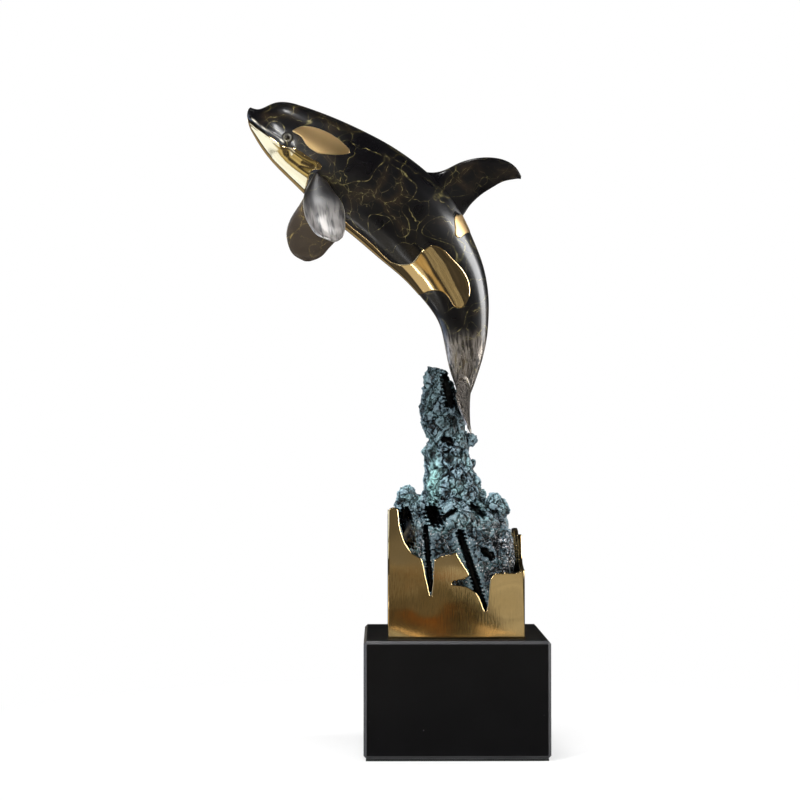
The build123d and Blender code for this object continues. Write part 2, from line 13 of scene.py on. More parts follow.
import bmesh
import bpy
import numpy as np
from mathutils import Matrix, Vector


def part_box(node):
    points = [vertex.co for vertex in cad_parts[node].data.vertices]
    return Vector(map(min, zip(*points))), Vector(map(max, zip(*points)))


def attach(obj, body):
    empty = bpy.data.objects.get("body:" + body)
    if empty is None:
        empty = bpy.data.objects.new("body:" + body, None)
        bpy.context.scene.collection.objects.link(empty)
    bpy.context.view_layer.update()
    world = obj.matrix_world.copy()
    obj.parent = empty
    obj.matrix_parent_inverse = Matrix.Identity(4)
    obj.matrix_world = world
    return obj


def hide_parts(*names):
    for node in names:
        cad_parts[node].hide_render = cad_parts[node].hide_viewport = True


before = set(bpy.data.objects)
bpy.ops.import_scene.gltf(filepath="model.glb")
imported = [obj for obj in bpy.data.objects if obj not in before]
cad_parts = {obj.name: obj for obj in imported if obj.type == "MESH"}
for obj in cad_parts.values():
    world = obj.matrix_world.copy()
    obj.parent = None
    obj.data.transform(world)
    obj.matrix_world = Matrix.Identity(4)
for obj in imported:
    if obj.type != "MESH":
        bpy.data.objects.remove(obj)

LOG = logging.getLogger("orca_figurine")
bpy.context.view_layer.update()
MM = 0.001
BODY = "root"
IMAGE_SIDE = 800

Place = tuple[float, float]
Spot = tuple[float, float, float]
CAMERA: Spot = (-66.0, -1752.0, 272.3)
UP: Spot = (0.0, 0.0, 1.0)
DOWN: Spot = (0.0, 0.0, -1.0)
WHITE = "#ffffff"
Socket = bpy.types.NodeSocket


class Slot(Enum):
    """The record's material slots."""

    MARBLE = "black_marble"
    BRASS = "polished_brass"
    PATINA = "black_patina"
    VERDIGRIS = "verdigris"
    STEEL = "steel"
    FELT = "felt"


class Side(Enum):
    """Which flank of the orca an inlay lies on."""

    LEFT = -1
    RIGHT = 1
    BOTH = 0


class ThickWay(Enum):
    """How a fin's thickness is directed: sideways, lengthwise, or square to its own blade."""

    SIDEWAYS = (0.0, 1.0, 0.0)
    LENGTHWISE = (1.0, 0.0, 0.0)
    ACROSS_BLADE = None


def linear(colour: str) -> tuple[float, float, float, float]:
    """Turns an sRGB hex colour into linear light.

    Args:
        colour: The colour as "#rrggbb".

    Returns:
        Red, green, blue and alpha in linear light.
    """
    parts = [int(colour[i:i + 2], 16) / 255 for i in (1, 3, 5)]
    light = [p / 12.92 if p <= 0.04045 else ((p + 0.055) / 1.055) ** 2.4 for p in parts]
    return (light[0], light[1], light[2], 1.0)


def per_metre(size: float) -> float:
    """The texture scale that gives a pattern of this size in millimetres."""
    return 1 / (size * MM)


def add_node(
    tree: bpy.types.NodeTree, kind: str, inputs: dict | None = None, **settings: object
) -> bpy.types.Node:
    """Adds a node to a tree with its settings and links.

    Args:
        tree: The node tree.
        kind: The node's type name.
        inputs: Value or linked socket for each input, by its name or its index.
        **settings: Options of the node itself.

    Returns:
        The new node.
    """
    node = tree.nodes.new(kind)
    for option, value in settings.items():
        setattr(node, option, value)
    for name, value in (inputs or {}).items():
        if isinstance(value, Socket):
            tree.links.new(value, node.inputs[name])
        else:
            node.inputs[name].default_value = value
    return node


def natural_cubic(knots: np.ndarray, values: np.ndarray, at: np.ndarray) -> np.ndarray:
    """Runs a smooth natural spline through values.

    Args:
        knots: Where the values are, rising.
        values: One row of values for each knot.
        at: Where the spline is read.

    Returns:
        One row of values for each place in at.
    """
    count, gap = len(knots), np.diff(knots)[:, None]
    slope = np.diff(values, axis=0) / gap
    matrix, right = np.eye(count), np.zeros_like(values)
    for i in range(1, count - 1):
        matrix[i, i - 1:i + 2] = gap[i - 1, 0], 2 * (gap[i - 1, 0] + gap[i, 0]), gap[i, 0]
        right[i] = 6 * (slope[i] - slope[i - 1])
    bend = np.linalg.solve(matrix, right)
    i = np.clip(np.searchsorted(knots, at) - 1, 0, count - 2)
    a = (knots[i + 1, None] - at[:, None]) / gap[i]
    b = 1 - a
    curve = ((a**3 - a) * bend[i] + (b**3 - b) * bend[i + 1]) * gap[i] ** 2 / 6
    return a * values[i] + b * values[i + 1] + curve


def path_lengths(points: np.ndarray) -> np.ndarray:
    """The distance along a line of points to each of them."""
    return np.concatenate([[0.0], np.cumsum(np.linalg.norm(np.diff(points, axis=0), axis=1))])


def closed_outline(corners: Sequence[Place], steps: int = 12) -> np.ndarray:
    """A smooth closed line through corners.

    Args:
        corners: The points that the line goes through, in order.
        steps: Points on the line for each corner.

    Returns:
        The line's points, one row each.
    """
    points, wrap = np.array(corners), 4
    around = np.vstack([points[-wrap:], points, points[:wrap + 1]])
    knots = path_lengths(around)
    first, last = knots[wrap], knots[wrap + len(points)]
    return natural_cubic(knots, around, np.linspace(first, last, steps * len(points), endpoint=False))


def nearest_on_line(places: np.ndarray, line: np.ndarray) -> tuple[np.ndarray, np.ndarray, np.ndarray]:
    """Measures places against a line of points.

    Args:
        places: The places, one row each.
        line: The line's points, one row each.

    Returns:
        For each place its distance from the line, which side of it it is on (1 left, -1 right), and
        how far along the line the nearest point is, from 0 to 1.
    """
    start, run = line[:-1], np.diff(line, axis=0)
    to_place = places[:, None, :] - start[None]
    share = np.clip((to_place * run).sum(2) / (run**2).sum(1), 0, 1)
    gap = np.linalg.norm(to_place - share[..., None] * run, axis=2)
    best, row = gap.argmin(1), np.arange(len(places))
    cross = run[best, 0] * to_place[row, best, 1] - run[best, 1] * to_place[row, best, 0]
    return gap[row, best], np.where(cross >= 0, 1.0, -1.0), (best + share[row, best]) / len(run)


def depth_inside(places: np.ndarray, outline: np.ndarray) -> np.ndarray:
    """How far each place lies inside a closed outline; outside it the depth is negative."""
    ring = np.vstack([outline, outline[:1]])
    gap = nearest_on_line(places, ring)[0]
    (ax, az), (bx, bz) = ring[:-1].T, ring[1:].T
    x, z = places[:, :1], places[:, 1:]
    rise = np.where(bz == az, 1.0, bz - az)
    crossed = ((az > z) != (bz > z)) & (x < ax + (z - az) / rise * (bx - ax))
    return np.where(crossed.sum(1) % 2 == 1, gap, -gap)


def smooth_step(value: np.ndarray, low: float, high: float) -> np.ndarray:
    """Rises smoothly from 0 at low to 1 at high."""
    share = np.clip((value - low) / (high - low), 0, 1)
    return share * share * (3 - 2 * share)


def bump_at(value: np.ndarray, middle: float, width: float) -> np.ndarray:
    """A bell of height 1 at the middle that falls off over the width."""
    return np.exp(-(((value - middle) / width) ** 2))


def ring_faces(rows: int, columns: int) -> list[tuple[int, ...]]:
    """The faces of a closed tube of rings, with a face across each end."""
    faces: list[tuple[int, ...]] = []
    for row in range(rows - 1):
        near, far = row * columns, (row + 1) * columns
        for i in range(columns):
            j = (i + 1) % columns
            faces.append((near + i, near + j, far + j, far + i))
    faces.append(tuple(range(columns)))
    faces.append(tuple(range((rows - 1) * columns, rows * columns)))
    return faces


def make_mesh(name: str, points: np.ndarray, faces: Sequence[Sequence[int]]) -> bpy.types.Object:
    """Makes a smooth mesh object with its faces outwards.

    Args:
        name: The object's name.
        points: Points in millimetres, one row each.
        faces: The faces as point numbers.

    Returns:
        The new object, at the origin.
    """
    mesh = bpy.data.meshes.new(name)
    mesh.from_pydata((np.asarray(points) * MM).tolist(), [], [list(face) for face in faces])
    shell = bmesh.new()
    shell.from_mesh(mesh)
    bmesh.ops.recalc_face_normals(shell, faces=shell.faces)
    shell.to_mesh(mesh)
    shell.free()
    mesh.shade_smooth()
    piece = bpy.data.objects.new(name, mesh)
    bpy.context.scene.collection.objects.link(piece)
    return piece


def settle(piece: bpy.types.Object) -> bpy.types.Object:
    """Turns a piece with its modifiers into a plain mesh."""
    bpy.context.view_layer.update()
    graph = bpy.context.evaluated_depsgraph_get()
    plain = bpy.data.meshes.new_from_object(piece.evaluated_get(graph))
    piece.modifiers.clear()
    piece.data = plain
    return piece


def fit_piece(piece: bpy.types.Object, material: bpy.types.Material, slot: Slot, *nodes: str) -> None:
    """Dresses a finished piece and joins it to the model.

    Args:
        piece: The piece.
        material: Its finish.
        slot: The record's slot for that finish; it is not used.
        *nodes: The CAD nodes that the piece stands for.
    """
    piece.data.materials.clear()
    piece.data.materials.append(material)
    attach(piece, BODY)
    if nodes:
        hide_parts(*nodes)
    LOG.info("%s: %d faces, stands for %s", piece.name, len(piece.data.polygons), ", ".join(nodes) or "none")


def new_material(name: str) -> tuple[bpy.types.Material, bpy.types.NodeTree, bpy.types.Node]:
    """An empty material with its tree and its shader node, already linked to the output."""
    material = bpy.data.materials.new(name)
    material.use_nodes = True
    tree = material.node_tree
    tree.nodes.clear()
    shader = add_node(tree, "ShaderNodeBsdfPrincipled")
    add_node(tree, "ShaderNodeOutputMaterial", {"Surface": shader.outputs["BSDF"]})
    return material, tree, shader


@dataclass(frozen=True)
class BlackPatina:
    """Cast brass with a hot black patina, scratched with a net of gold veins and lacquered.

    It gives the eye a deep wet black, thin broken olive-gold lines that run in cells and loops with
    brown clouds beside them, a clear gloss over all, and grey metal where the tail was rubbed bare.
    """

    name: str = "brass_black_patina_lacquered"
    black: str = "#0a090b"
    cloud: str = "#2b2114"
    vein: str = "#443f26"
    bright_vein: str = "#b5a96c"
    rubbed: str = "#b3aaa0"
    # Pale line colour: wear on the fin edges, and a painted highlight on the lip and the eyelids
    worn_edge: str = "#e6dfcc"
    cell: float = 29.0
    small_cell: float = 12.0
    loop: float = 42.0
    vein_width: float = 0.25
    wander: float = 12.0
    patch: float = 42.0
    speckle: float = 4.0
    vein_break: float = 13.0
    # Shares of their pattern: the width of a loop's line and of the brown beside a vein
    loop_width: float = 0.008
    halo_width: float = 0.22
    roughness: float = 0.3
    specular: float = 0.25
    coat: float = 0.4
    coat_roughness: float = 0.14
    rubbed_below: float = 342.0
    rubbed_above: float = 374.0
    rubbed_roughness: float = 0.2
    streak: float = 2.4
    streak_turn: Spot = (0.0, 0.0, 0.0)

    def line(self, tree: bpy.types.NodeTree, gap: Socket, width: float) -> Socket:
        """Draws a soft line where a gap is near nought.

        Args:
            tree: The material's tree.
            gap: The distance from the line.
            width: The distance at which the line has faded out.

        Returns:
            How much line there is, from 0 to 1.
        """
        return add_node(
            tree, "ShaderNodeMapRange",
            {"Value": gap, "From Min": 0.0, "From Max": width, "To Min": 1.0, "To Max": 0.0},
            interpolation_type="SMOOTHSTEP",
        ).outputs[0]

    def material(self) -> bpy.types.Material:
        """Builds the lacquered black patina."""
        material, tree, shader = new_material(self.name)
        place = add_node(tree, "ShaderNodeTexCoord").outputs["Object"]
        clouds = {
            name: add_node(
                tree, "ShaderNodeTexNoise",
                {"Vector": place, "Scale": per_metre(size), "Detail": detail, "Roughness": 0.6},
            ).outputs
            for name, size, detail in (
                ("drift", self.wander * 2.5, 3.0), ("patch", self.patch, 2.0), ("speckle", self.speckle, 3.0),
                ("break", self.vein_break, 2.0), ("loop", self.loop, 1.0),
            )
        }
        drift = add_node(
            tree, "ShaderNodeVectorMath", {0: clouds["drift"]["Color"], 1: (0.5, 0.5, 0.5)},
            operation="SUBTRACT",
        ).outputs[0]
        drift = add_node(
            tree, "ShaderNodeVectorMath", {0: drift, "Scale": self.wander * 2 * MM}, operation="SCALE"
        ).outputs[0]
        bent = add_node(tree, "ShaderNodeVectorMath", {0: place, 1: drift}).outputs[0]
        patches, speckle, breaks = (clouds[name]["Fac"] for name in ("patch", "speckle", "break"))
        gap, small_gap = (
            add_node(
                tree, "ShaderNodeTexVoronoi", {"Vector": bent, "Scale": per_metre(size)},
                feature="DISTANCE_TO_EDGE",
            ).outputs["Distance"]
            for size in (self.cell, self.small_cell)
        )
        large = self.line(tree, gap, self.vein_width / self.cell)
        small = self.line(tree, small_gap, 0.8 * self.vein_width / self.small_cell)
        swirl = add_node(
            tree, "ShaderNodeMath", {0: clouds["loop"]["Fac"], 1: 0.5}, operation="SUBTRACT"
        ).outputs[0]
        swirl = add_node(tree, "ShaderNodeMath", {0: swirl}, operation="ABSOLUTE").outputs[0]
        loops = self.line(tree, swirl, self.loop_width)
        where = add_node(
            tree, "ShaderNodeMapRange", {"Value": patches, "From Min": 0.48, "From Max": 0.62, "To Max": 0.6}
        ).outputs[0]
        small = add_node(tree, "ShaderNodeMath", {0: small, 1: where}, operation="MULTIPLY").outputs[0]
        loops = add_node(tree, "ShaderNodeMath", {0: loops, 1: 0.7}, operation="MULTIPLY").outputs[0]
        net = add_node(tree, "ShaderNodeMath", {0: large, 1: small}, operation="MAXIMUM").outputs[0]
        net = add_node(tree, "ShaderNodeMath", {0: net, 1: loops}, operation="MAXIMUM").outputs[0]
        worn = add_node(
            tree, "ShaderNodeMapRange", {"Value": breaks, "From Min": 0.38, "From Max": 0.6, "To Min": 0.12}
        ).outputs[0]
        net = add_node(tree, "ShaderNodeMath", {0: net, 1: worn}, operation="MULTIPLY").outputs[0]
        calm = add_node(tree, "ShaderNodeAttribute", attribute_name="calm").outputs["Fac"]
        busy = add_node(tree, "ShaderNodeMath", {0: 1.0, 1: calm}, operation="SUBTRACT").outputs[0]
        net = add_node(tree, "ShaderNodeMath", {0: net, 1: busy}, operation="MULTIPLY").outputs[0]
        # The pale edge line is wear on the fin edges and a painted highlight on the lip and the eyelids
        rub = add_node(tree, "ShaderNodeAttribute", attribute_name="edge_wear").outputs["Fac"]
        rub = add_node(tree, "ShaderNodeMath", {0: rub, 1: worn}, operation="MULTIPLY").outputs[0]
        halo = self.line(tree, gap, self.halo_width)
        halo = add_node(tree, "ShaderNodeMath", {0: halo, 1: where}, operation="MULTIPLY").outputs[0]
        halo = add_node(tree, "ShaderNodeMath", {0: halo, 1: speckle}, operation="MULTIPLY").outputs[0]
        halo = add_node(tree, "ShaderNodeMath", {0: halo, 1: 1.8}, operation="MULTIPLY", use_clamp=True)
        colour = add_node(
            tree, "ShaderNodeMix", {0: halo.outputs[0], 6: linear(self.black), 7: linear(self.cloud)},
            data_type="RGBA",
        ).outputs[2]
        glint = add_node(
            tree, "ShaderNodeMapRange", {"Value": speckle, "From Min": 0.45, "From Max": 0.66}
        ).outputs[0]
        thread = add_node(
            tree, "ShaderNodeMix", {0: glint, 6: linear(self.vein), 7: linear(self.bright_vein)},
            data_type="RGBA",
        ).outputs[2]
        colour = add_node(
            tree, "ShaderNodeMix", {0: net, 6: colour, 7: thread}, data_type="RGBA"
        ).outputs[2]
        colour = add_node(
            tree, "ShaderNodeMix", {0: rub, 6: colour, 7: linear(self.worn_edge)}, data_type="RGBA"
        ).outputs[2]
        level = add_node(tree, "ShaderNodeSeparateXYZ", {0: place}).outputs["Z"]
        bare = add_node(
            tree, "ShaderNodeMapRange",
            {"Value": level, "From Min": self.rubbed_below * MM, "From Max": self.rubbed_above * MM,
             "To Min": 1.0, "To Max": 0.0},
            interpolation_type="SMOOTHSTEP",
        ).outputs[0]
        drawn = add_node(
            tree, "ShaderNodeMapping",
            {"Vector": place, "Rotation": self.streak_turn, "Scale": (1.0, 1.0, 10.0)}, vector_type="TEXTURE",
        ).outputs[0]
        streaks = add_node(
            tree, "ShaderNodeTexNoise",
            {"Vector": drawn, "Scale": per_metre(self.streak), "Detail": 2.0, "Roughness": 0.6},
        ).outputs["Fac"]
        streaks = add_node(
            tree, "ShaderNodeMapRange", {"Value": streaks, "From Min": 0.4, "From Max": 0.58, "To Min": 0.05}
        ).outputs[0]
        bare = add_node(tree, "ShaderNodeMath", {0: bare, 1: streaks}, operation="MULTIPLY").outputs[0]
        colour = add_node(
            tree, "ShaderNodeMix", {0: bare, 6: colour, 7: linear(self.rubbed)}, data_type="RGBA"
        ).outputs[2]
        tree.links.new(bare, shader.inputs["Metallic"])
        smudge = add_node(
            tree, "ShaderNodeMapRange",
            {"Value": patches, "From Min": 0.3, "From Max": 0.7,
             "To Min": self.roughness * 0.7, "To Max": self.roughness * 1.5},
        ).outputs[0]
        smudge = add_node(
            tree, "ShaderNodeMix", {0: bare, 2: smudge, 3: self.rubbed_roughness}, data_type="FLOAT"
        ).outputs[0]
        tree.links.new(colour, shader.inputs["Base Color"])
        tree.links.new(smudge, shader.inputs["Roughness"])
        shader.inputs["Specular IOR Level"].default_value = self.specular
        shader.inputs["Coat Weight"].default_value = self.coat
        shader.inputs["Coat Roughness"].default_value = self.coat_roughness
        return material


@dataclass(frozen=True)
class PolishedBrass:
    """Cast brass, filed and buffed by hand.

    It gives the eye a warm mirror whose reflections run in soft waves, with faint hairlines from the
    buff and a slightly browner tone in patches.
    """

    name: str = "brass_cast_buffed"
    bright: str = "#e3cb9c"
    brown: str = "#d3b680"
    roughness: float = 0.045
    wave: float = 46.0
    wave_height: float = 0.36
    # Buffing lines are finer than a pixel, so they are drawn coarser to show
    hairline: float = 0.5
    hairline_height: float = 0.012
    tarnish: float = 28.0

    def material(self) -> bpy.types.Material:
        """Builds the buffed brass."""
        material, tree, shader = new_material(self.name)
        place = add_node(tree, "ShaderNodeTexCoord").outputs["Object"]
        tone = add_node(
            tree, "ShaderNodeTexNoise", {"Vector": place, "Scale": per_metre(self.tarnish), "Detail": 3.0}
        ).outputs["Fac"]
        colour = add_node(
            tree, "ShaderNodeMix", {0: tone, 6: linear(self.brown), 7: linear(self.bright)}, data_type="RGBA"
        ).outputs[2]
        dull = add_node(
            tree, "ShaderNodeMapRange",
            {"Value": tone, "From Min": 0.3, "From Max": 0.7,
             "To Min": self.roughness * 1.3, "To Max": self.roughness * 0.8},
        ).outputs[0]
        wave = add_node(
            tree, "ShaderNodeTexNoise", {"Vector": place, "Scale": per_metre(self.wave), "Detail": 1.0}
        ).outputs["Fac"]
        soft = add_node(
            tree, "ShaderNodeBump", {"Strength": 1.0, "Distance": self.wave_height * MM, "Height": wave}
        ).outputs[0]
        turned = add_node(
            tree, "ShaderNodeMapping",
            {"Vector": place, "Rotation": (0.0, math.radians(50), 0.0), "Scale": (1.0, 1.0, 0.03)},
        ).outputs[0]
        hair = add_node(
            tree, "ShaderNodeTexNoise", {"Vector": turned, "Scale": per_metre(self.hairline), "Detail": 2.0}
        ).outputs["Fac"]
        fine = add_node(
            tree, "ShaderNodeBump",
            {"Strength": 1.0, "Distance": self.hairline_height * MM, "Height": hair, "Normal": soft},
        ).outputs[0]
        tree.links.new(colour, shader.inputs["Base Color"])
        tree.links.new(dull, shader.inputs["Roughness"])
        tree.links.new(fine, shader.inputs["Normal"])
        shader.inputs["Metallic"].default_value = 1.0
        return material


@dataclass(frozen=True)
class Verdigris:
    """Sand-cast brass pickled to a blue-green verdigris, rubbed back and waxed.

    It gives the eye black crevices, partly patina and partly painted shade, grey-teal faces, pale aqua where
    the pickle pooled, a darker tone towards the top of the trunk, painted shade low down in the block, and
    small painted glints on the crests there.
    """

    pit: str = "#020304"
    shade: str = "#18262b"
    face: str = "#465c66"
    crest: str = "#8aa2ad"
    aqua: str = "#b2e8e4"
    # Pale colour of the small sparks, which paint metal glints
    bare: str = "#d9d2d4"
    # The cast grain is finer than a pixel, so grain and sparks are drawn coarser to show
    grain: float = 2.2
    spark: float = 1.5
    # Where along x the sparks start, and where they are at their thickest
    glitter_from: float = 22.0
    glitter_full: float = 40.0
    pool_middle: Spot = (-19.5, -26.0, 241.0)
    pool_stretch: Spot = (1.7, 0.7, 0.42)
    pool_radius: float = 15.0
    # Below these heights, inside the block, the crust is darkened to the pit colour as painted shade from the
    # block's walls
    dark_below: float = 185.0
    dark_above: float = 225.0
    dark_share: float = 0.6
    # Above these heights the upper trunk is darkened towards the pit colour
    dull_below: float = 252.0
    dull_above: float = 285.0
    dull_share: float = 0.55
    cloud: float = 18.0
    roughness: float = 0.42

    def material(self) -> bpy.types.Material:
        """Builds the waxed verdigris."""
        material, tree, shader = new_material("brass_verdigris_waxed")
        place = add_node(tree, "ShaderNodeTexCoord").outputs["Object"]
        relief = add_node(tree, "ShaderNodeAttribute", attribute_name="relief").outputs["Fac"]
        cloud = add_node(
            tree, "ShaderNodeTexNoise", {"Vector": place, "Scale": per_metre(self.cloud), "Detail": 4.0}
        ).outputs["Fac"]
        grain = add_node(
            tree, "ShaderNodeTexNoise",
            {"Vector": place, "Scale": per_metre(self.grain), "Detail": 3.0, "Roughness": 0.7},
        ).outputs["Fac"]
        rough = add_node(tree, "ShaderNodeMath", {0: grain, 1: 0.5}, operation="SUBTRACT").outputs[0]
        height = add_node(tree, "ShaderNodeMath", {0: rough, 1: 1.0, 2: relief}, operation="MULTIPLY_ADD")
        # The tone follows the relief rank, black in the pits and pale on the crests: partly patina rubbed
        # back, partly painted shade in the pits
        tone = add_node(tree, "ShaderNodeValToRGB", {"Fac": height.outputs[0]})
        ramp = tone.color_ramp.elements
        ramp[0].position, ramp[0].color = 0.22, linear(self.pit)
        ramp[1].position, ramp[1].color = 0.98, linear(self.crest)
        for level, shade in ((0.48, self.shade), (0.72, self.face)):
            ramp.new(level).color = linear(shade)
        away = add_node(
            tree, "ShaderNodeVectorMath", {0: place, 1: tuple(c * MM for c in self.pool_middle)},
            operation="SUBTRACT",
        ).outputs[0]
        away = add_node(
            tree, "ShaderNodeVectorMath", {0: away, 1: self.pool_stretch}, operation="MULTIPLY"
        ).outputs[0]
        away = add_node(tree, "ShaderNodeVectorMath", {0: away}, operation="LENGTH").outputs["Value"]
        pool = add_node(
            tree, "ShaderNodeMapRange",
            {"Value": away, "From Min": 0.2 * self.pool_radius * MM, "From Max": self.pool_radius * MM,
             "To Min": 0.9, "To Max": 0.0},
        ).outputs[0]
        stain = add_node(
            tree, "ShaderNodeMapRange", {"Value": cloud, "From Min": 0.46, "From Max": 0.7, "To Max": 0.3}
        ).outputs[0]
        wet = add_node(tree, "ShaderNodeMath", {0: pool, 1: stain}, use_clamp=True).outputs[0]
        wet = add_node(
            tree, "ShaderNodeMath", {0: wet, 1: height.outputs[0]}, operation="MULTIPLY"
        ).outputs[0]
        colour = add_node(
            tree, "ShaderNodeMix", {0: wet, 6: tone.outputs[0], 7: linear(self.aqua)}, data_type="RGBA"
        ).outputs[2]
        level = add_node(tree, "ShaderNodeSeparateXYZ", {0: place}).outputs["Z"]
        # Painted shade: darker low down inside the block
        low = add_node(
            tree, "ShaderNodeMapRange",
            {"Value": level, "From Min": self.dark_below * MM, "From Max": self.dark_above * MM,
             "To Min": 1.0, "To Max": 0.0},
        ).outputs[0]
        # Darker towards the top of the trunk
        dull = add_node(
            tree, "ShaderNodeMapRange",
            {"Value": level, "From Min": self.dull_below * MM, "From Max": self.dull_above * MM,
             "To Max": self.dull_share},
        ).outputs[0]
        # Sum of the painted shade in the block and the darkening towards the top
        deep = add_node(
            tree, "ShaderNodeMath", {0: low, 1: self.dark_share, 2: dull}, operation="MULTIPLY_ADD"
        ).outputs[0]
        colour = add_node(
            tree, "ShaderNodeMix", {0: deep, 6: colour, 7: linear(self.pit)}, data_type="RGBA"
        ).outputs[2]
        # Painted glints: small pale sparks on the crests low in the block, in patches and to the right
        sparks = add_node(
            tree, "ShaderNodeTexNoise", {"Vector": place, "Scale": per_metre(self.spark), "Detail": 1.0}
        ).outputs["Fac"]
        crest = add_node(
            tree, "ShaderNodeMapRange", {"Value": sparks, "From Min": 0.6, "From Max": 0.68}
        ).outputs[0]
        where = add_node(
            tree, "ShaderNodeMapRange", {"Value": cloud, "From Min": 0.46, "From Max": 0.56}
        ).outputs[0]
        glint = add_node(tree, "ShaderNodeMath", {0: crest, 1: low}, operation="MULTIPLY").outputs[0]
        along = add_node(tree, "ShaderNodeSeparateXYZ", {0: place}).outputs["X"]
        right = add_node(
            tree, "ShaderNodeMapRange",
            {"Value": along, "From Min": self.glitter_from * MM, "From Max": self.glitter_full * MM},
        ).outputs[0]
        where = add_node(tree, "ShaderNodeMath", {0: where, 1: right}, operation="MAXIMUM").outputs[0]
        glint = add_node(tree, "ShaderNodeMath", {0: glint, 1: where}, operation="MULTIPLY").outputs[0]
        glint = add_node(tree, "ShaderNodeMath", {0: glint, 1: relief}, operation="MULTIPLY").outputs[0]
        colour = add_node(
            tree, "ShaderNodeMix", {0: glint, 6: colour, 7: linear(self.bare)}, data_type="RGBA"
        ).outputs[2]
        shine = add_node(
            tree, "ShaderNodeMapRange",
            {"Value": low, "To Min": self.roughness * 1.2, "To Max": self.roughness * 0.55},
        ).outputs[0]
        tree.links.new(colour, shader.inputs["Base Color"])
        tree.links.new(shine, shader.inputs["Roughness"])
        fine = add_node(
            tree, "ShaderNodeBump", {"Strength": 0.8, "Distance": 0.5 * MM, "Height": grain}
        ).outputs[0]
        tree.links.new(fine, shader.inputs["Normal"])
        return material


@dataclass(frozen=True)
class BlackMarble:
    """Black marble, sawn and polished, with the chamfers left honed and a paler grey that partly paints their
    highlight.

    It gives the eye a near-black face with a dull gloss, faint grey clouds and a few pale specks.
    """

    black: str = "#08080a"
    cloud: str = "#0e0e10"
    speck: str = "#55555a"
    honed: str = "#3c3c3e"
    cloud_size: float = 40.0
    speck_spacing: float = 17.0
    speck_size: float = 0.9
    roughness: float = 0.3

    def material(self) -> bpy.types.Material:
        """Builds the polished marble."""
        material, tree, shader = new_material("marble_black_polished")
        place = add_node(tree, "ShaderNodeTexCoord").outputs["Object"]
        cloud = add_node(
            tree, "ShaderNodeTexNoise", {"Vector": place, "Scale": per_metre(self.cloud_size), "Detail": 5.0}
        ).outputs["Fac"]
        grains = add_node(
            tree, "ShaderNodeTexVoronoi", {"Vector": place, "Scale": per_metre(self.speck_spacing)}
        ).outputs["Distance"]
        speck = add_node(
            tree, "ShaderNodeMapRange",
            {"Value": grains, "From Min": 0.3 * self.speck_size / self.speck_spacing,
             "From Max": self.speck_size / self.speck_spacing, "To Min": 0.7, "To Max": 0.0},
        ).outputs[0]
        colour = add_node(
            tree, "ShaderNodeMix", {0: cloud, 6: linear(self.black), 7: linear(self.cloud)}, data_type="RGBA"
        ).outputs[2]
        colour = add_node(
            tree, "ShaderNodeMix", {0: speck, 6: colour, 7: linear(self.speck)}, data_type="RGBA"
        ).outputs[2]
        # Paler grey on the chamfers: honed stone and a painted highlight
        edge = add_node(tree, "ShaderNodeAttribute", attribute_name="honed").outputs["Fac"]
        colour = add_node(
            tree, "ShaderNodeMix", {0: edge, 6: colour, 7: linear(self.honed)}, data_type="RGBA"
        ).outputs[2]
        dull = add_node(
            tree, "ShaderNodeMapRange",
            {"Value": cloud, "To Min": self.roughness * 0.8, "To Max": self.roughness * 1.3},
        ).outputs[0]
        tree.links.new(colour, shader.inputs["Base Color"])
        tree.links.new(dull, shader.inputs["Roughness"])
        shader.inputs["Specular IOR Level"].default_value = 0.3
        return material


@dataclass(frozen=True)
class WoolFelt:
    """Pressed wool felt. It gives the eye a matt dark pile with no thread."""

    dark: str = "#101312"
    light: str = "#2a2f2c"
    # A wool fibre is far finer, and is drawn coarser to show
    fibre: float = 0.6

    def material(self) -> bpy.types.Material:
        """Builds the pressed felt."""
        material, tree, shader = new_material("wool_felt_pressed")
        place = add_node(tree, "ShaderNodeTexCoord").outputs["Object"]
        pile = add_node(
            tree, "ShaderNodeTexNoise", {"Vector": place, "Scale": per_metre(self.fibre), "Detail": 4.0}
        ).outputs["Fac"]
        colour = add_node(
            tree, "ShaderNodeMix", {0: pile, 6: linear(self.dark), 7: linear(self.light)}, data_type="RGBA"
        ).outputs[2]
        tree.links.new(colour, shader.inputs["Base Color"])
        shader.inputs["Roughness"].default_value = 0.95
        shader.inputs["Sheen Weight"].default_value = 0.3
        return material


@dataclass(frozen=True)
class ZincSteel:
    """Steel, turned and zinc plated. It gives the eye a dull grey metal with a fine crystal mottle."""

    light: str = "#b9bcc0"
    dark: str = "#8e9196"
    # The plating's crystals are finer, and are drawn coarser to show
    crystal: float = 1.2

    def material(self) -> bpy.types.Material:
        """Builds the zinc-plated steel."""
        material, tree, shader = new_material("steel_zinc_plated")
        place = add_node(tree, "ShaderNodeTexCoord").outputs["Object"]
        mottle = add_node(
            tree, "ShaderNodeTexNoise", {"Vector": place, "Scale": per_metre(self.crystal), "Detail": 3.0}
        ).outputs["Fac"]
        colour = add_node(
            tree, "ShaderNodeMix", {0: mottle, 6: linear(self.dark), 7: linear(self.light)}, data_type="RGBA"
        ).outputs[2]
        tree.links.new(colour, shader.inputs["Base Color"])
        shader.inputs["Metallic"].default_value = 1.0
        shader.inputs["Roughness"].default_value = 0.35
        return material


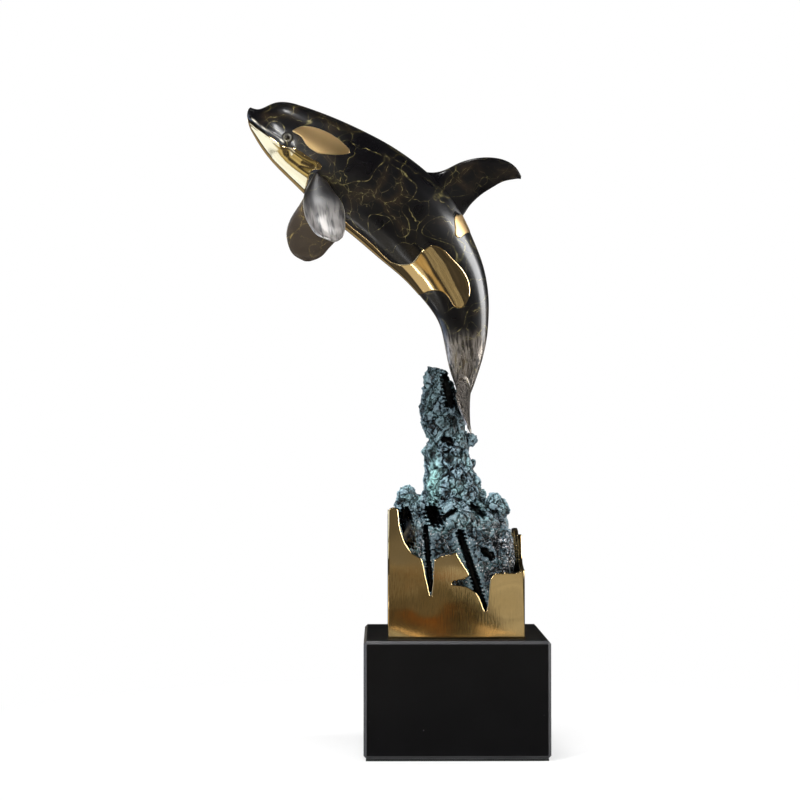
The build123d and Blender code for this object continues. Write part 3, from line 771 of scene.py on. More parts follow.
@dataclass
class Plinth:
    """The marble plinth and the felt under it."""

    chamfer: float = 2.5
    arris: float = 0.35
    # A face whose normal has no part this large is a chamfer
    square_on: float = 0.99

    def build(self) -> None:
        """Models the plinth with chamfered edges, and dresses the felt."""
        low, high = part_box("plinth")
        block = bmesh.new()
        bmesh.ops.create_cube(block, size=1.0)
        for corner in block.verts:
            for axis in range(3):
                corner.co[axis] = (low, high)[corner.co[axis] > 0][axis]
        for width, measure, segments in ((self.chamfer, "OFFSET", 1), (self.arris, "WIDTH", 2)):
            bmesh.ops.bevel(
                block, geom=block.edges[:], offset=width * MM, offset_type=measure, segments=segments,
                profile=0.5, affect="EDGES",
            )
        bmesh.ops.recalc_face_normals(block, faces=block.faces)
        mesh = bpy.data.meshes.new("marble_plinth")
        block.to_mesh(mesh)
        block.free()
        # Chamfer faces get the paler grey of honed stone and a painted highlight
        slanted = [float(max(abs(part) for part in face.normal) < self.square_on) for face in mesh.polygons]
        mesh.attributes.new("honed", "FLOAT", "FACE").data.foreach_set("value", slanted)
        piece = bpy.data.objects.new("marble_plinth", mesh)
        bpy.context.scene.collection.objects.link(piece)
        fit_piece(piece, BlackMarble().material(), Slot.MARBLE, "plinth")
        dress_nodes(WoolFelt().material(), "felt_pad")


def dress_nodes(material: bpy.types.Material, *nodes: str) -> None:
    """Gives CAD nodes that stay as they are a finish of their own."""
    for node in nodes:
        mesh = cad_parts[node].data
        mesh.materials.clear()
        mesh.materials.append(material)
        LOG.info("%s: CAD node in %s", node, material.name)


@dataclass
class BrassBlock:
    """The polished brass block: four walls with a torn rim, rounded at every edge."""

    wall: float = 4.0
    rim_round: float = 0.9
    corner_round: float = 2.0
    foot_round: float = 0.6
    round_steps: int = 4
    tear: float = 0.35
    spacing: float = 1.5
    # Rim of each wall: share of the half width along it, share of the block's height
    front: Sequence[Place] = (
        (-1.0, 0.97), (-0.96, 1.00), (-0.86, 1.00), (-0.83, 0.84), (-0.75, 0.72), (-0.65, 0.65),
        (-0.50, 0.605), (-0.46, 0.49), (-0.375, 0.30), (-0.345, 0.42), (-0.33, 0.60), (-0.24, 0.63),
        (-0.07, 0.64), (-0.02, 0.665), (0.05, 0.60), (0.20, 0.48), (0.08, 0.445), (-0.07, 0.435),
        (-0.07, 0.41), (0.15, 0.40), (0.31, 0.34), (0.42, 0.195), (0.46, 0.25), (0.49, 0.45),
        (0.56, 0.50), (0.86, 0.50), (1.0, 0.52),
    )
    back: Sequence[Place] = (
        (-1.0, 0.95), (-0.80, 0.88), (-0.62, 0.68), (-0.45, 0.61), (-0.38, 0.38), (-0.33, 0.59),
        (-0.05, 0.66), (0.12, 0.59), (0.24, 0.27), (0.31, 0.56), (0.60, 0.65), (1.0, 0.79),
    )
    left: Sequence[Place] = (
        (-1.0, 0.97), (-0.55, 0.93), (-0.34, 0.73), (-0.20, 0.45), (-0.12, 0.70), (0.20, 0.81),
        (0.55, 0.73), (1.0, 0.95),
    )
    right: Sequence[Place] = (
        (-1.0, 0.52), (-0.82, 0.53), (-0.50, 0.57), (-0.34, 0.79), (-0.24, 0.74), (-0.10, 0.47), (0.02, 0.70),
        (0.50, 0.81), (1.0, 0.79),
    )
    corner_cut: float = 0.14
    points: list[np.ndarray] = field(default_factory=list)
    faces: list[tuple[int, ...]] = field(default_factory=list)

    def torn_edge(self, rim: Sequence[Place], half_width: float, foot: float, height: float) -> np.ndarray:
        """The torn edge of one wall, with its corners eased and small nicks along it.

        Args:
            rim: The rim's points as shares.
            half_width: Half the wall's width.
            foot: The level of the wall's foot.
            height: The block's height.

        Returns:
            Points along the wall and up, left to right.
        """
        line = np.array([(along * half_width, foot + up * height) for along, up in rim])
        for _ in range(2):
            a, b = line[:-1], line[1:]
            cut = np.stack([a + self.corner_cut * (b - a), b - self.corner_cut * (b - a)], 1).reshape(-1, 2)
            line = np.vstack([line[:1], cut, line[-1:]])
        knots = path_lengths(line)
        at = np.linspace(0, knots[-1], int(knots[-1] / self.spacing))
        edge = np.stack([np.interp(at, knots, line[:, i]) for i in range(2)], 1)
        nick = np.sin(at * 0.83) * np.sin(at * 0.37 + 1) + 0.5 * np.sin(at * 2.1 + 2)
        edge[1:-1, 1] += self.tear * nick[1:-1]
        return edge

    def add_wall(
        self, edge: np.ndarray, foot: float, rounds: Place,
        place: Callable[[np.ndarray, np.ndarray, np.ndarray], np.ndarray],
    ) -> None:
        """Adds one wall as a closed slab whose edges are rounded.

        Args:
            edge: The torn edge, along the wall and up.
            foot: The level of the wall's foot.
            rounds: The rounding of the upright edges and of the foot.
            place: Turns along, up and depth arrays into points of the part.
        """
        upright, under = rounds
        outline = np.vstack([[[edge[0, 0], foot], [edge[-1, 0], foot]], edge[::-1]])
        radius = np.full(len(outline), self.rim_round)
        radius[[0, 1]] = under
        radius[[2, -1]] = upright
        run = np.roll(outline, -1, axis=0) - outline
        run /= np.linalg.norm(run, axis=1)[:, None]
        inward = np.stack([-run[:, 1], run[:, 0]], 1)
        before = np.roll(inward, 1, axis=0)
        mitre = (inward + before) / np.maximum(1 + (inward * before).sum(1), 0.6)[:, None]
        layers = []
        turns = np.linspace(0, math.pi / 2, self.round_steps + 1)
        for reach, inner in ((radius, False), (np.minimum(radius, self.rim_round), True)):
            for turn in turns[::-1] if inner else turns:
                inset, depth = reach * (1 - math.sin(turn)), reach * (1 - math.cos(turn))
                flat = outline + mitre * inset[:, None]
                flat[2:, 0] = np.clip(flat[2:, 0], edge[0, 0] + inset[2], edge[-1, 0] - inset[2])
                layers.append((flat, self.wall - depth if inner else depth))
        first = sum(len(p) for p in self.points)
        for flat, depth in layers:
            self.points.append(place(flat[:, 0], flat[:, 1], depth))
        self.faces += [
            tuple(first + i for i in face) for face in ring_faces(len(layers), len(outline))
        ]

    def build(self) -> None:
        """Models the four walls and dresses them."""
        low, high = (np.array(corner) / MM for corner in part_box("base_block"))
        foot, height = low[2], high[2] - low[2]
        half_x, half_y = high[0], high[1]
        ends = (self.corner_round, self.foot_round)
        butt = (0.0, self.foot_round)
        stack = np.column_stack
        self.add_wall(
            self.torn_edge(self.front, half_x, foot, height), foot, ends,
            lambda along, up, depth: stack([along, depth - half_y, up]),
        )
        self.add_wall(
            self.torn_edge(self.back, half_x, foot, height), foot, ends,
            lambda along, up, depth: stack([along, half_y - depth, up]),
        )
        for rim, way in ((self.left, -1), (self.right, 1)):
            edge = self.torn_edge(rim, half_y, foot, height)
            inside = np.abs(edge[:, 0]) < half_y - self.wall
            edge = edge[inside]
            edge[0, 0], edge[-1, 0] = self.wall - half_y, half_y - self.wall
            self.add_wall(
                edge, foot, butt,
                lambda along, up, depth, way=way: stack([way * (half_x - depth), along, up]),
            )
        piece = make_mesh("brass_block", np.vstack(self.points), self.faces)
        weigh = piece.modifiers.new("flat_faces", "WEIGHTED_NORMAL")
        weigh.weight = 100
        weigh.keep_sharp = True
        fit_piece(settle(piece), PolishedBrass().material(), Slot.BRASS, "base_block")


@dataclass
class WaterColumn:
    """The rough water column: a stack of rings and boulders under a crumbly crust."""

    sides: int = 48
    square: float = 9.0
    oval: float = 2.2
    uneven: float = 0.06
    # Middle x and y, half x and y; shoulders by their depth below the block's top
    shoulders: Sequence[tuple[float, ...]] = (
        (58.0, 0.5, 0.0, 51.0, 51.0), (30.0, 0.0, 0.0, 47.0, 47.0), (12.0, -1.0, 0.0, 39.0, 39.0),
    )
    # Trunk by the share of its height
    trunk: Sequence[tuple[float, ...]] = (
        (0.04, 0.0, 0.0, 29.5, 31.0), (0.105, -0.9, 0.0, 27.6, 29.0), (0.177, -2.6, 0.0, 25.6, 26.5),
        (0.25, -3.4, 0.0, 23.0, 24.0), (0.347, -6.0, 0.0, 20.4, 22.0), (0.395, -7.5, 0.0, 21.4, 22.0),
        (0.46, -5.5, 0.0, 18.2, 20.5), (0.516, -8.0, 0.0, 19.6, 21.0), (0.597, -10.7, 0.0, 19.6, 20.5),
        (0.71, -12.9, 0.0, 17.9, 19.0), (0.79, -12.9, 0.0, 15.2, 17.0), (0.87, -13.5, 0.0, 13.4, 14.5),
        (0.945, -16.4, 0.0, 10.0, 11.0), (0.995, -18.8, 0.0, 5.8, 6.5),
    )
    # Boulders: middle x, y and height above the block's top, and radii
    boulders: Sequence[tuple[float, ...]] = (
        (-42.0, -26.0, 5.5, 9.5, 10.0, 12.5), (-46.0, -25.0, -4.0, 8.0, 10.0, 10.0),
        (-32.0, -27.0, 0.0, 10.5, 10.0, 10.5), (-32.0, 26.0, -14.0, 19.0, 17.0, 18.0),
        (-40.0, 2.0, -12.0, 10.0, 15.0, 16.0), (35.0, -22.0, 2.5, 7.0, 9.0, 9.0),
        (41.0, -21.0, -3.0, 6.5, 9.0, 9.5),
        (33.0, 24.0, -18.0, 17.0, 17.0, 17.0), (38.0, 4.0, -20.0, 10.0, 15.0, 16.0),
        (-2.0, -34.0, -12.0, 18.0, 11.0, 17.0), (0.0, 36.0, -10.0, 20.0, 12.0, 18.0),
        (15.3, -4.0, 59.0, 4.2, 5.5, 6.0), (17.3, -4.0, 37.5, 2.8, 4.0, 4.5),
        (42.0, -36.0, -42.0, 10.0, 15.0, 26.0), (-33.0, -45.0, -28.0, 4.0, 6.0, 18.0),
    )
    # Hollows in the front: from x and height above the block's foot, to x and height, radius, depth
    hollows: Sequence[tuple[float, ...]] = (
        (-44.0, 106.0, -42.0, 82.0, 7.0, 15.0), (-20.0, 108.0, -17.0, 102.0, 8.0, 20.0),
        (-12.0, 103.0, 0.0, 110.0, 2.6, 7.0), (-26.0, 95.0, -22.0, 42.0, 2.6, 9.0),
        (4.0, 90.0, 24.0, 25.0, 4.0, 12.0), (15.0, 113.0, 24.0, 106.0, 3.8, 9.0),
        (25.0, 75.0, 31.0, 70.0, 3.8, 8.0), (-7.0, 226.0, -3.0, 204.0, 6.0, 9.0),
        (-9.0, 172.0, -3.0, 169.0, 4.0, 7.0),
    )
    ragged: float = 0.35
    voxel: float = 1.05
    relief_steps: Sequence[int] = (2, 8, 30)
    calm_steps: int = 8
    # Each size and height of the crust's relief
    lump: tuple[float, float] = (17.0, 4.0)
    flake: tuple[float, float] = (6.6, 2.4)
    crumple: tuple[float, float] = (13.0, 9.0)
    fold: tuple[float, float] = (5.2, 3.4)
    grit: tuple[float, float] = (2.3, 1.7)
    # Cracks between flakes: their half width as a share of a flake, and their depth
    crack: tuple[float, float] = (0.1, 1.5)
    sway: float = 9.0
    ragged_edge: float = 4.0
    flake_stretch: float = 0.7
    smooth_below: float = 188.0
    rough_above: float = 218.0
    smoothest: float = 0.5
    wall_ease: float = 5.0

    def ring(self, x: float, y: float, half_x: float, half_y: float, power: float, turn: float) -> np.ndarray:
        """One uneven ring of the column, seen from above; a higher power is squarer."""
        angle = np.arange(self.sides) * 2 * math.pi / self.sides
        c, s = np.cos(angle), np.sin(angle)
        wave = (2 + np.sin(3 * angle + turn) + np.sin(5 * angle - 2 * turn)) / 4
        uneven = self.uneven if power == self.oval else 0.0
        reach = (np.abs(c) ** power + np.abs(s) ** power) ** (-1 / power) * (1 - uneven * wave)
        return np.stack([x + half_x * reach * c, y + half_y * reach * s], 1)

    def rough_form(self) -> bpy.types.Object:
        """The column before its crust: the rings' skin and the boulders, overlapping."""
        column_low, column_high = (np.array(corner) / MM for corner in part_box("water_column"))
        block_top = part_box("base_block")[1].z / MM
        levels = [(column_low[2], 0.0, 0.0, column_high[0], column_high[1], self.square)]
        levels += [(block_top - drop, x, y, a, b, self.square) for drop, x, y, a, b in self.shoulders]
        rise = column_high[2] - block_top
        levels += [(block_top + share * rise, x, y, a, b, self.oval) for share, x, y, a, b in self.trunk]
        rows = []
        for turn, (z, x, y, a, b, power) in enumerate(levels):
            flat = self.ring(x, y, a, b, power, turn)
            rows.append(np.column_stack([flat, np.full(self.sides, z)]))
        form = make_mesh("water_column_crust", np.vstack(rows), ring_faces(len(rows), self.sides))
        shell = bmesh.new()
        shell.from_mesh(form.data)
        for x, y, up, rx, ry, rz in self.boulders:
            ball = bmesh.ops.create_icosphere(shell, subdivisions=3, radius=1.0)["verts"]
            for point in ball:
                point.co = Vector(
                    ((x + rx * point.co.x) * MM, (y + ry * point.co.y) * MM,
                     (block_top + up + rz * point.co.z) * MM)
                )
        shell.to_mesh(form.data)
        shell.free()
        return form

    def relief_tree(self, material: bpy.types.Material) -> tuple[bpy.types.NodeTree, dict[str, str]]:
        """The tree that breaks the crust into flakes with cracks between them, and crumples it.

        Args:
            material: The finish that the tree sets.

        Returns:
            The tree, and the identifier of each of its inputs by name.
        """
        tree = bpy.data.node_groups.new("column_relief", "GeometryNodeTree")
        kinds = ("Lump", "Flake", "Crumple", "Fold", "Grit")
        names = [f"{kind} {what}" for kind in kinds for what in ("size", "height")]
        sockets = group_sockets(tree, (*names, "Crack width", "Crack height"))
        given = add_node(tree, "NodeGroupInput").outputs
        place = add_node(tree, "GeometryNodeInputPosition").outputs[0]
        scale = {
            kind: add_node(
                tree, "ShaderNodeMath", {0: 1.0, 1: given[f"{kind} size"]}, operation="DIVIDE"
            ).outputs[0]
            for kind in kinds
        }
        lump = add_node(tree, "ShaderNodeTexNoise", {"Vector": place, "Scale": scale["Lump"], "Detail": 2.0})
        sway = add_node(
            tree, "ShaderNodeVectorMath", {0: lump.outputs["Color"], "Scale": self.sway * MM},
            operation="SCALE",
        ).outputs[0]
        bent = add_node(tree, "ShaderNodeVectorMath", {0: place, 1: sway}).outputs[0]
        folds = {
            kind: add_node(
                tree, "ShaderNodeTexNoise",
                {"Vector": bent, "Scale": scale[kind], "Detail": 3.0, "Roughness": 0.6},
            ).outputs["Color"]
            for kind in kinds[2:]
        }
        torn = add_node(
            tree, "ShaderNodeVectorMath", {0: folds["Fold"], "Scale": self.ragged_edge * MM},
            operation="SCALE",
        ).outputs[0]
        torn = add_node(tree, "ShaderNodeVectorMath", {0: bent, 1: torn}).outputs[0]
        tall = add_node(
            tree, "ShaderNodeVectorMath", {0: torn, 1: (1.0, 1.0, self.flake_stretch)}, operation="MULTIPLY"
        ).outputs[0]
        cell = {"Vector": tall, "Scale": scale["Flake"]}
        flake = add_node(tree, "ShaderNodeTexVoronoi", cell, feature="F1").outputs["Color"]
        flake = add_node(tree, "ShaderNodeSeparateXYZ", {0: flake}).outputs["X"]
        gap = add_node(tree, "ShaderNodeTexVoronoi", cell, feature="DISTANCE_TO_EDGE").outputs["Distance"]
        crack = add_node(
            tree, "ShaderNodeMapRange",
            {"Value": gap, "From Max": given["Crack width"], "To Min": -1.0, "To Max": 0.0},
            interpolation_type="SMOOTHSTEP",
        ).outputs[0]
        height = add_node(
            tree, "ShaderNodeMath", {0: crack, 1: given["Crack height"]}, operation="MULTIPLY"
        ).outputs[0]
        for value, kind in ((lump.outputs["Fac"], "Lump"), (flake, "Flake")):
            level = add_node(tree, "ShaderNodeMath", {0: value, 1: 0.5}, operation="SUBTRACT").outputs[0]
            height = add_node(
                tree, "ShaderNodeMath", {0: level, 1: given[f"{kind} height"], 2: height},
                operation="MULTIPLY_ADD",
            ).outputs[0]
        normal = add_node(tree, "GeometryNodeInputNormal").outputs[0]
        push = add_node(
            tree, "ShaderNodeVectorMath", {0: normal, "Scale": height}, operation="SCALE"
        ).outputs[0]
        for kind, fold in folds.items():
            fold = add_node(
                tree, "ShaderNodeVectorMath", {0: fold, 1: (0.5, 0.5, 0.5)}, operation="SUBTRACT"
            ).outputs[0]
            fold = add_node(
                tree, "ShaderNodeVectorMath", {0: fold, "Scale": given[f"{kind} height"]}, operation="SCALE"
            ).outputs[0]
            push = add_node(tree, "ShaderNodeVectorMath", {0: push, 1: fold}).outputs[0]
        up = add_node(tree, "ShaderNodeSeparateXYZ", {0: place}).outputs["Z"]
        rough = add_node(
            tree, "ShaderNodeMapRange",
            {"Value": up, "From Min": self.smooth_below * MM, "From Max": self.rough_above * MM,
             "To Min": self.smoothest},
        ).outputs[0]
        push = add_node(tree, "ShaderNodeVectorMath", {0: push, "Scale": rough}, operation="SCALE").outputs[0]
        moved = add_node(
            tree, "GeometryNodeSetPosition", {"Geometry": given["Geometry"], "Offset": push}
        ).outputs[0]
        real = add_node(tree, "GeometryNodeRealizeInstances", {"Geometry": moved}).outputs[0]
        dressed = add_node(
            tree, "GeometryNodeSetMaterial", {"Geometry": real, "Material": material}
        ).outputs[0]
        add_node(tree, "NodeGroupOutput", {0: dressed})
        return tree, sockets

    def build(self) -> None:
        """Models the column's crust and dresses it."""
        material = Verdigris().material()
        piece = self.rough_form()
        skin = piece.modifiers.new("one_skin", "REMESH")
        skin.mode = "VOXEL"
        skin.voxel_size = self.voxel * MM
        skin.use_smooth_shade = True
        tree, sockets = self.relief_tree(material)
        relief = piece.modifiers.new("relief", "NODES")
        relief.node_group = tree
        scales = {
            "Lump": self.lump, "Flake": self.flake, "Crumple": self.crumple, "Fold": self.fold,
            "Grit": self.grit,
        }
        for name, (size, height) in scales.items():
            relief[sockets[f"{name} size"]] = size * MM
            relief[sockets[f"{name} height"]] = height * MM
        relief[sockets["Crack width"]] = self.crack[0]
        relief[sockets["Crack height"]] = self.crack[1] * MM
        settle(piece)
        self.shape_skin(piece.data)
        piece.data.shade_flat()
        fit_piece(piece, material, Slot.VERDIGRIS, "water_column")

    def shape_skin(self, mesh: bpy.types.Mesh) -> None:
        """Presses hollows into the front of the crust, marks them to be painted black as shade, and keeps it
        inside the block's walls.
        """
        low, high = (np.array(corner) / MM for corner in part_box("water_column"))
        block_low, block_high = (np.array(corner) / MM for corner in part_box("base_block"))
        points = np.zeros(len(mesh.vertices) * 3)
        mesh.vertices.foreach_get("co", points)
        points = points.reshape(-1, 3) / MM
        *_, even = self.evened(mesh, points, self.calm_steps)
        front, (x, _, z) = points[:, 1] < 0, points.T
        wander = 1 + self.ragged * np.sin(0.9 * x + 1.3 * z) * np.sin(0.7 * z - 0.6 * x + 2)
        pressed = np.zeros(len(points))
        for x0, up0, x1, up1, radius, depth in self.hollows:
            line = np.array([(x0, block_low[2] + up0), (x1, block_low[2] + up1)])
            gap = nearest_on_line(even[:, [0, 2]], line)[0]
            press = smooth_step(1 - gap / (radius * wander), 0.0, 0.6)
            press = np.where(front, press, 0.0)
            points += press[:, None] * (even - points)
            points[:, 1] += depth * press
            pressed = np.maximum(pressed, press)
        inside = points[:, 2] < block_high[2]
        eased = high[:2] - self.wall_ease
        over = np.maximum(np.abs(points[inside, :2]) - eased, 0.0)
        kept = np.minimum(np.abs(points[inside, :2]), eased)
        kept += self.wall_ease * (1 - np.exp(-over / self.wall_ease))
        points[inside, :2] = np.sign(points[inside, :2]) * kept
        points[:, 2] = np.clip(points[:, 2], low[2], high[2])
        mesh.vertices.foreach_set("co", (points * MM).ravel())
        mesh.update()
        self.store_relief(mesh, points, 1 - pressed)

    def evened(self, mesh: bpy.types.Mesh, points: np.ndarray, steps: int) -> Iterator[np.ndarray]:
        """Evens a mesh's points out step by step, each time to the mean of a point's neighbours.

        Args:
            mesh: The mesh, for its edges.
            points: Its points.
            steps: How many times to even them out.

        Returns:
            The points after each step.
        """
        ends = np.zeros(len(mesh.edges) * 2, dtype=np.int64)
        mesh.edges.foreach_get("vertices", ends)
        near, far = np.concatenate([ends.reshape(-1, 2), ends.reshape(-1, 2)[:, ::-1]]).T
        count = np.maximum(np.bincount(near, minlength=len(points)), 1)
        for _ in range(steps):
            points = np.stack(
                [np.bincount(near, points[far, axis], len(points)) / count for axis in range(3)], 1
            )
            yield points

    def store_relief(self, mesh: bpy.types.Mesh, points: np.ndarray, lit: np.ndarray) -> None:
        """Keeps for the finish how each point ranks from the deepest pit (0) to the highest crest (1); the
        finish paints the pits black, partly as painted shade.

        Args:
            mesh: The crust.
            points: Its points.
            lit: How far each point is out of the hollows, from 0 to 1; in the hollows the relief falls to 0,
                which paints them black as shade.
        """
        normals = np.zeros(len(points) * 3)
        mesh.vertices.foreach_get("normal", normals)
        normals = normals.reshape(-1, 3)
        height = np.zeros(len(points))
        for step, smooth in enumerate(self.evened(mesh, points, max(self.relief_steps)), 1):
            if step in self.relief_steps:
                proud = ((points - smooth) * normals).sum(1)
                height += proud / proud.std()
        rank = np.empty(len(points))
        rank[height.argsort()] = np.linspace(0, 1, len(points))
        # In the hollows the rank falls to the pit's black: painted shade
        mesh.attributes.new("relief", "FLOAT", "POINT").data.foreach_set("value", rank * lit)


def group_sockets(tree: bpy.types.NodeTree, names: Sequence[str]) -> dict[str, str]:
    """Gives a geometry tree its geometry sockets and named number inputs.

    Args:
        tree: The tree.
        names: The number inputs.

    Returns:
        The identifier of each number input by its name.
    """
    face = tree.interface
    face.new_socket(name="Geometry", in_out="OUTPUT", socket_type="NodeSocketGeometry")
    face.new_socket(name="Geometry", in_out="INPUT", socket_type="NodeSocketGeometry")
    found = {}
    for name in names:
        socket = face.new_socket(name=name, in_out="INPUT", socket_type="NodeSocketFloat")
        found[name] = socket.identifier
    return found


@dataclass
class OrcaSkin:
    """The shape of the orca's skin, in its own frame: x from the rod's axis, z above the column's top."""

    # Beak to tail: back point, belly point and half width
    stations: Sequence[tuple[Place, Place, float]] = (
        ((-189.9, 231.5), (-192.9, 220.6), 5.4),
        ((-183.6, 230.3), (-192.4, 216.6), 8.0),
        ((-177.7, 232.3), (-191.0, 212.6), 10.8),
        ((-170.1, 235.6), (-188.6, 208.2), 14.6),
        ((-162.5, 236.6), (-185.6, 203.0), 18.5),
        ((-146.5, 233.6), (-176.8, 190.0), 24.0),
        ((-110.7, 220.2), (-153.6, 165.2), 31.5),
        ((-70.5, 200.4), (-125.0, 138.0), 37.0),
        ((-34.8, 175.4), (-95.6, 114.2), 38.0),
        ((-8.0, 145.9), (-73.2, 95.0), 35.0),
        ((7.2, 116.4), (-54.5, 79.4), 28.5),
        ((18.8, 84.3), (-37.9, 61.5), 21.5),
        ((22.4, 52.1), (-23.7, 41.4), 15.5),
        ((19.7, 20.0), (-17.4, 20.0), 11.0),
        ((12.5, -6.8), (-12.0, -5.0), 8.0),
        ((8.1, -19.3), (-8.0, -16.6), 7.0),
        ((4.8, -28.0), (-5.0, -27.0), 6.2),
        ((4.0, -40.0), (-1.5, -39.5), 4.6),
    )
    dome: float = 3.0
    dome_rows: int = 9
    head_crowding: float = 1.35
    mouth: Sequence[Place] = (
        (-199.0, 227.0), (-193.4, 222.1), (-185.1, 214.9), (-175.5, 208.1), (-166.7, 202.3), (-161.7, 198.0),
    )
    cheek_fold: Sequence[Place] = (
        (-161.6, 198.0), (-155.5, 187.5), (-147.0, 181.0), (-138.6, 177.3), (-131.0, 176.0),
    )
    eye: Place = (-158.1, 204.9)
    eye_lid: float = 3.2
    blowhole: float = -147.0

    @property
    def origin(self) -> np.ndarray:
        """The origin of the orca's frame in the part, in millimetres."""
        rod_low, rod_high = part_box("support_rod")
        return np.array([(rod_low.x + rod_high.x) / 2, 0.0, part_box("water_column")[1].z]) / MM

    def as_seen(self, points: np.ndarray) -> np.ndarray:
        """Where points of the skin show on the middle plane from the camera's side; both flanks match.

        Args:
            points: Points in the orca's frame.

        Returns:
            Their x and z on the middle plane, where the outlines are drawn.
        """
        eye = np.array(CAMERA) - self.origin
        closer = eye[1] / (eye[1] + np.abs(points[:, 1]))
        return eye[[0, 2]] + (points[:, [0, 2]] - eye[[0, 2]]) * closer[:, None]

    def relief(self, points: np.ndarray) -> np.ndarray:
        """How far the skin stands out at each point: lips, cheek, eyelids, blowhole, hand-made unevenness.

        Args:
            points: Points of the smooth skin in the orca's frame.

        Returns:
            Millimetres outwards for each point.
        """
        x, y, z = points.T
        flat = self.as_seen(points)
        out = 0.10 * np.sin(0.13 * x + 0.09 * z + 1) * np.sin(0.11 * z - 0.15 * y)
        head = x < -115
        spots = flat[head]
        gap, side, along = nearest_on_line(spots, np.array(self.mouth))
        across, fade = gap * side, smooth_step(along, 0.2, 0.32) * (1 - smooth_step(along, 0.93, 1.0))
        lips = 0.85 * bump_at(across, 2.1, 1.0) - 0.9 * bump_at(across, 0.2, 0.7)
        lips += 0.55 * bump_at(across, -1.7, 0.9)
        near_line = (along > 0) & (along < 1)
        out[head] += np.where(near_line, lips * fade, 0.0)
        gap, side, along = nearest_on_line(spots, np.array(self.cheek_fold))
        fold = smooth_step(along, 0.0, 0.15) * (1 - smooth_step(along, 0.85, 1))
        out[head] += fold * (0.5 * bump_at(gap * side, 7.0, 4.5) - 0.7 * bump_at(gap, 0.0, 4.5))
        ring = np.hypot(spots[:, 0] - self.eye[0], spots[:, 1] - self.eye[1])
        out[head] += 0.9 * bump_at(ring, self.eye_lid, 0.8) - 0.7 * bump_at(ring, 0.0, 2.0)
        hole = np.hypot((x - self.blowhole) / 1.2, y / 2.4)
        out -= np.where(z > 222, 1.1 * bump_at(hole, 0.0, 1.0), 0.0)
        return out

    def rows(self, lengthwise: int, around: int) -> tuple[np.ndarray, np.ndarray]:
        """Rings of the skin from the beak to the tail.

        Args:
            lengthwise: How many rings.
            around: Points on each ring, from the back over the left flank.

        Returns:
            The points of each ring in the part's frame, and the way out at each of them.
        """
        shape = np.array([(*back, *belly, width) for back, belly, width in self.stations])
        middles = (shape[:, 0:2] + shape[:, 2:4]) / 2
        knots = path_lengths(middles)
        at = knots[-1] * np.linspace(0, 1, lengthwise) ** self.head_crowding
        shape = natural_cubic(knots, shape, at)
        back, belly, width = shape[:, 0:2], shape[:, 2:4], shape[:, 4]
        middle, half = (back + belly) / 2, (back - belly) / 2
        forward = (middle[0] - middle[1]) / np.linalg.norm(middle[0] - middle[1])
        dome = np.linspace(math.pi / 2 * 0.985, 0, self.dome_rows, endpoint=False)[:, None]
        middle = np.vstack([middle[0] + forward * self.dome * np.sin(dome), middle])
        half = np.vstack([half[0] * np.cos(dome), half])
        width = np.concatenate([width[0] * np.cos(dome[:, 0]), width])
        turn = np.arange(around) * 2 * math.pi / around
        side_view = middle[:, None] + half[:, None] * np.cos(turn)[None, :, None]
        sideways = -width[:, None] * np.sin(turn)[None]
        points = np.stack([side_view[..., 0], sideways, side_view[..., 1]], 2)
        out = self.way_out(points)
        flat = points.reshape(-1, 3)
        points = (flat + out.reshape(-1, 3) * self.relief(flat)[:, None]).reshape(points.shape)
        return points + self.origin, self.way_out(points)

    def rubbed(self, points: np.ndarray) -> tuple[np.ndarray, np.ndarray]:
        """Where a pale line paints the highlight on the upper lip and on the eyelid ring, and where the beak
        has few veins.

        Args:
            points: Points of the skin in the orca's frame.

        Returns:
            The share of painted highlight and the share kept calm, for each point.
        """
        flat, bright = self.as_seen(points), np.zeros(len(points))
        head = points[:, 0] < -140
        gap, side, along = nearest_on_line(flat[head], np.array(self.mouth))
        lip = bump_at(gap * side, 2.2, 0.6) * smooth_step(along, 0.22, 0.3)
        lip *= 1 - smooth_step(along, 0.9, 1.0)
        ring = np.hypot(flat[head, 0] - self.eye[0], flat[head, 1] - self.eye[1])
        bright[head] = np.maximum(lip, 0.28 * bump_at(ring, self.eye_lid, 0.5))
        return bright, 1 - smooth_step(points[:, 0], -182.0, -166.0)

    @staticmethod
    def way_out(points: np.ndarray) -> np.ndarray:
        """The outward normal at each point of a skin made of rings."""
        lengthwise = np.gradient(points, axis=0)
        around = np.roll(points, -1, axis=1) - np.roll(points, 1, axis=1)
        normal = np.cross(lengthwise, around)
        normal /= np.maximum(np.linalg.norm(normal, axis=2), 1e-9)[..., None]
        outwards = points - points.mean(axis=1)[:, None]
        return normal * np.where((normal * outwards).sum(2) < 0, -1, 1)[..., None]


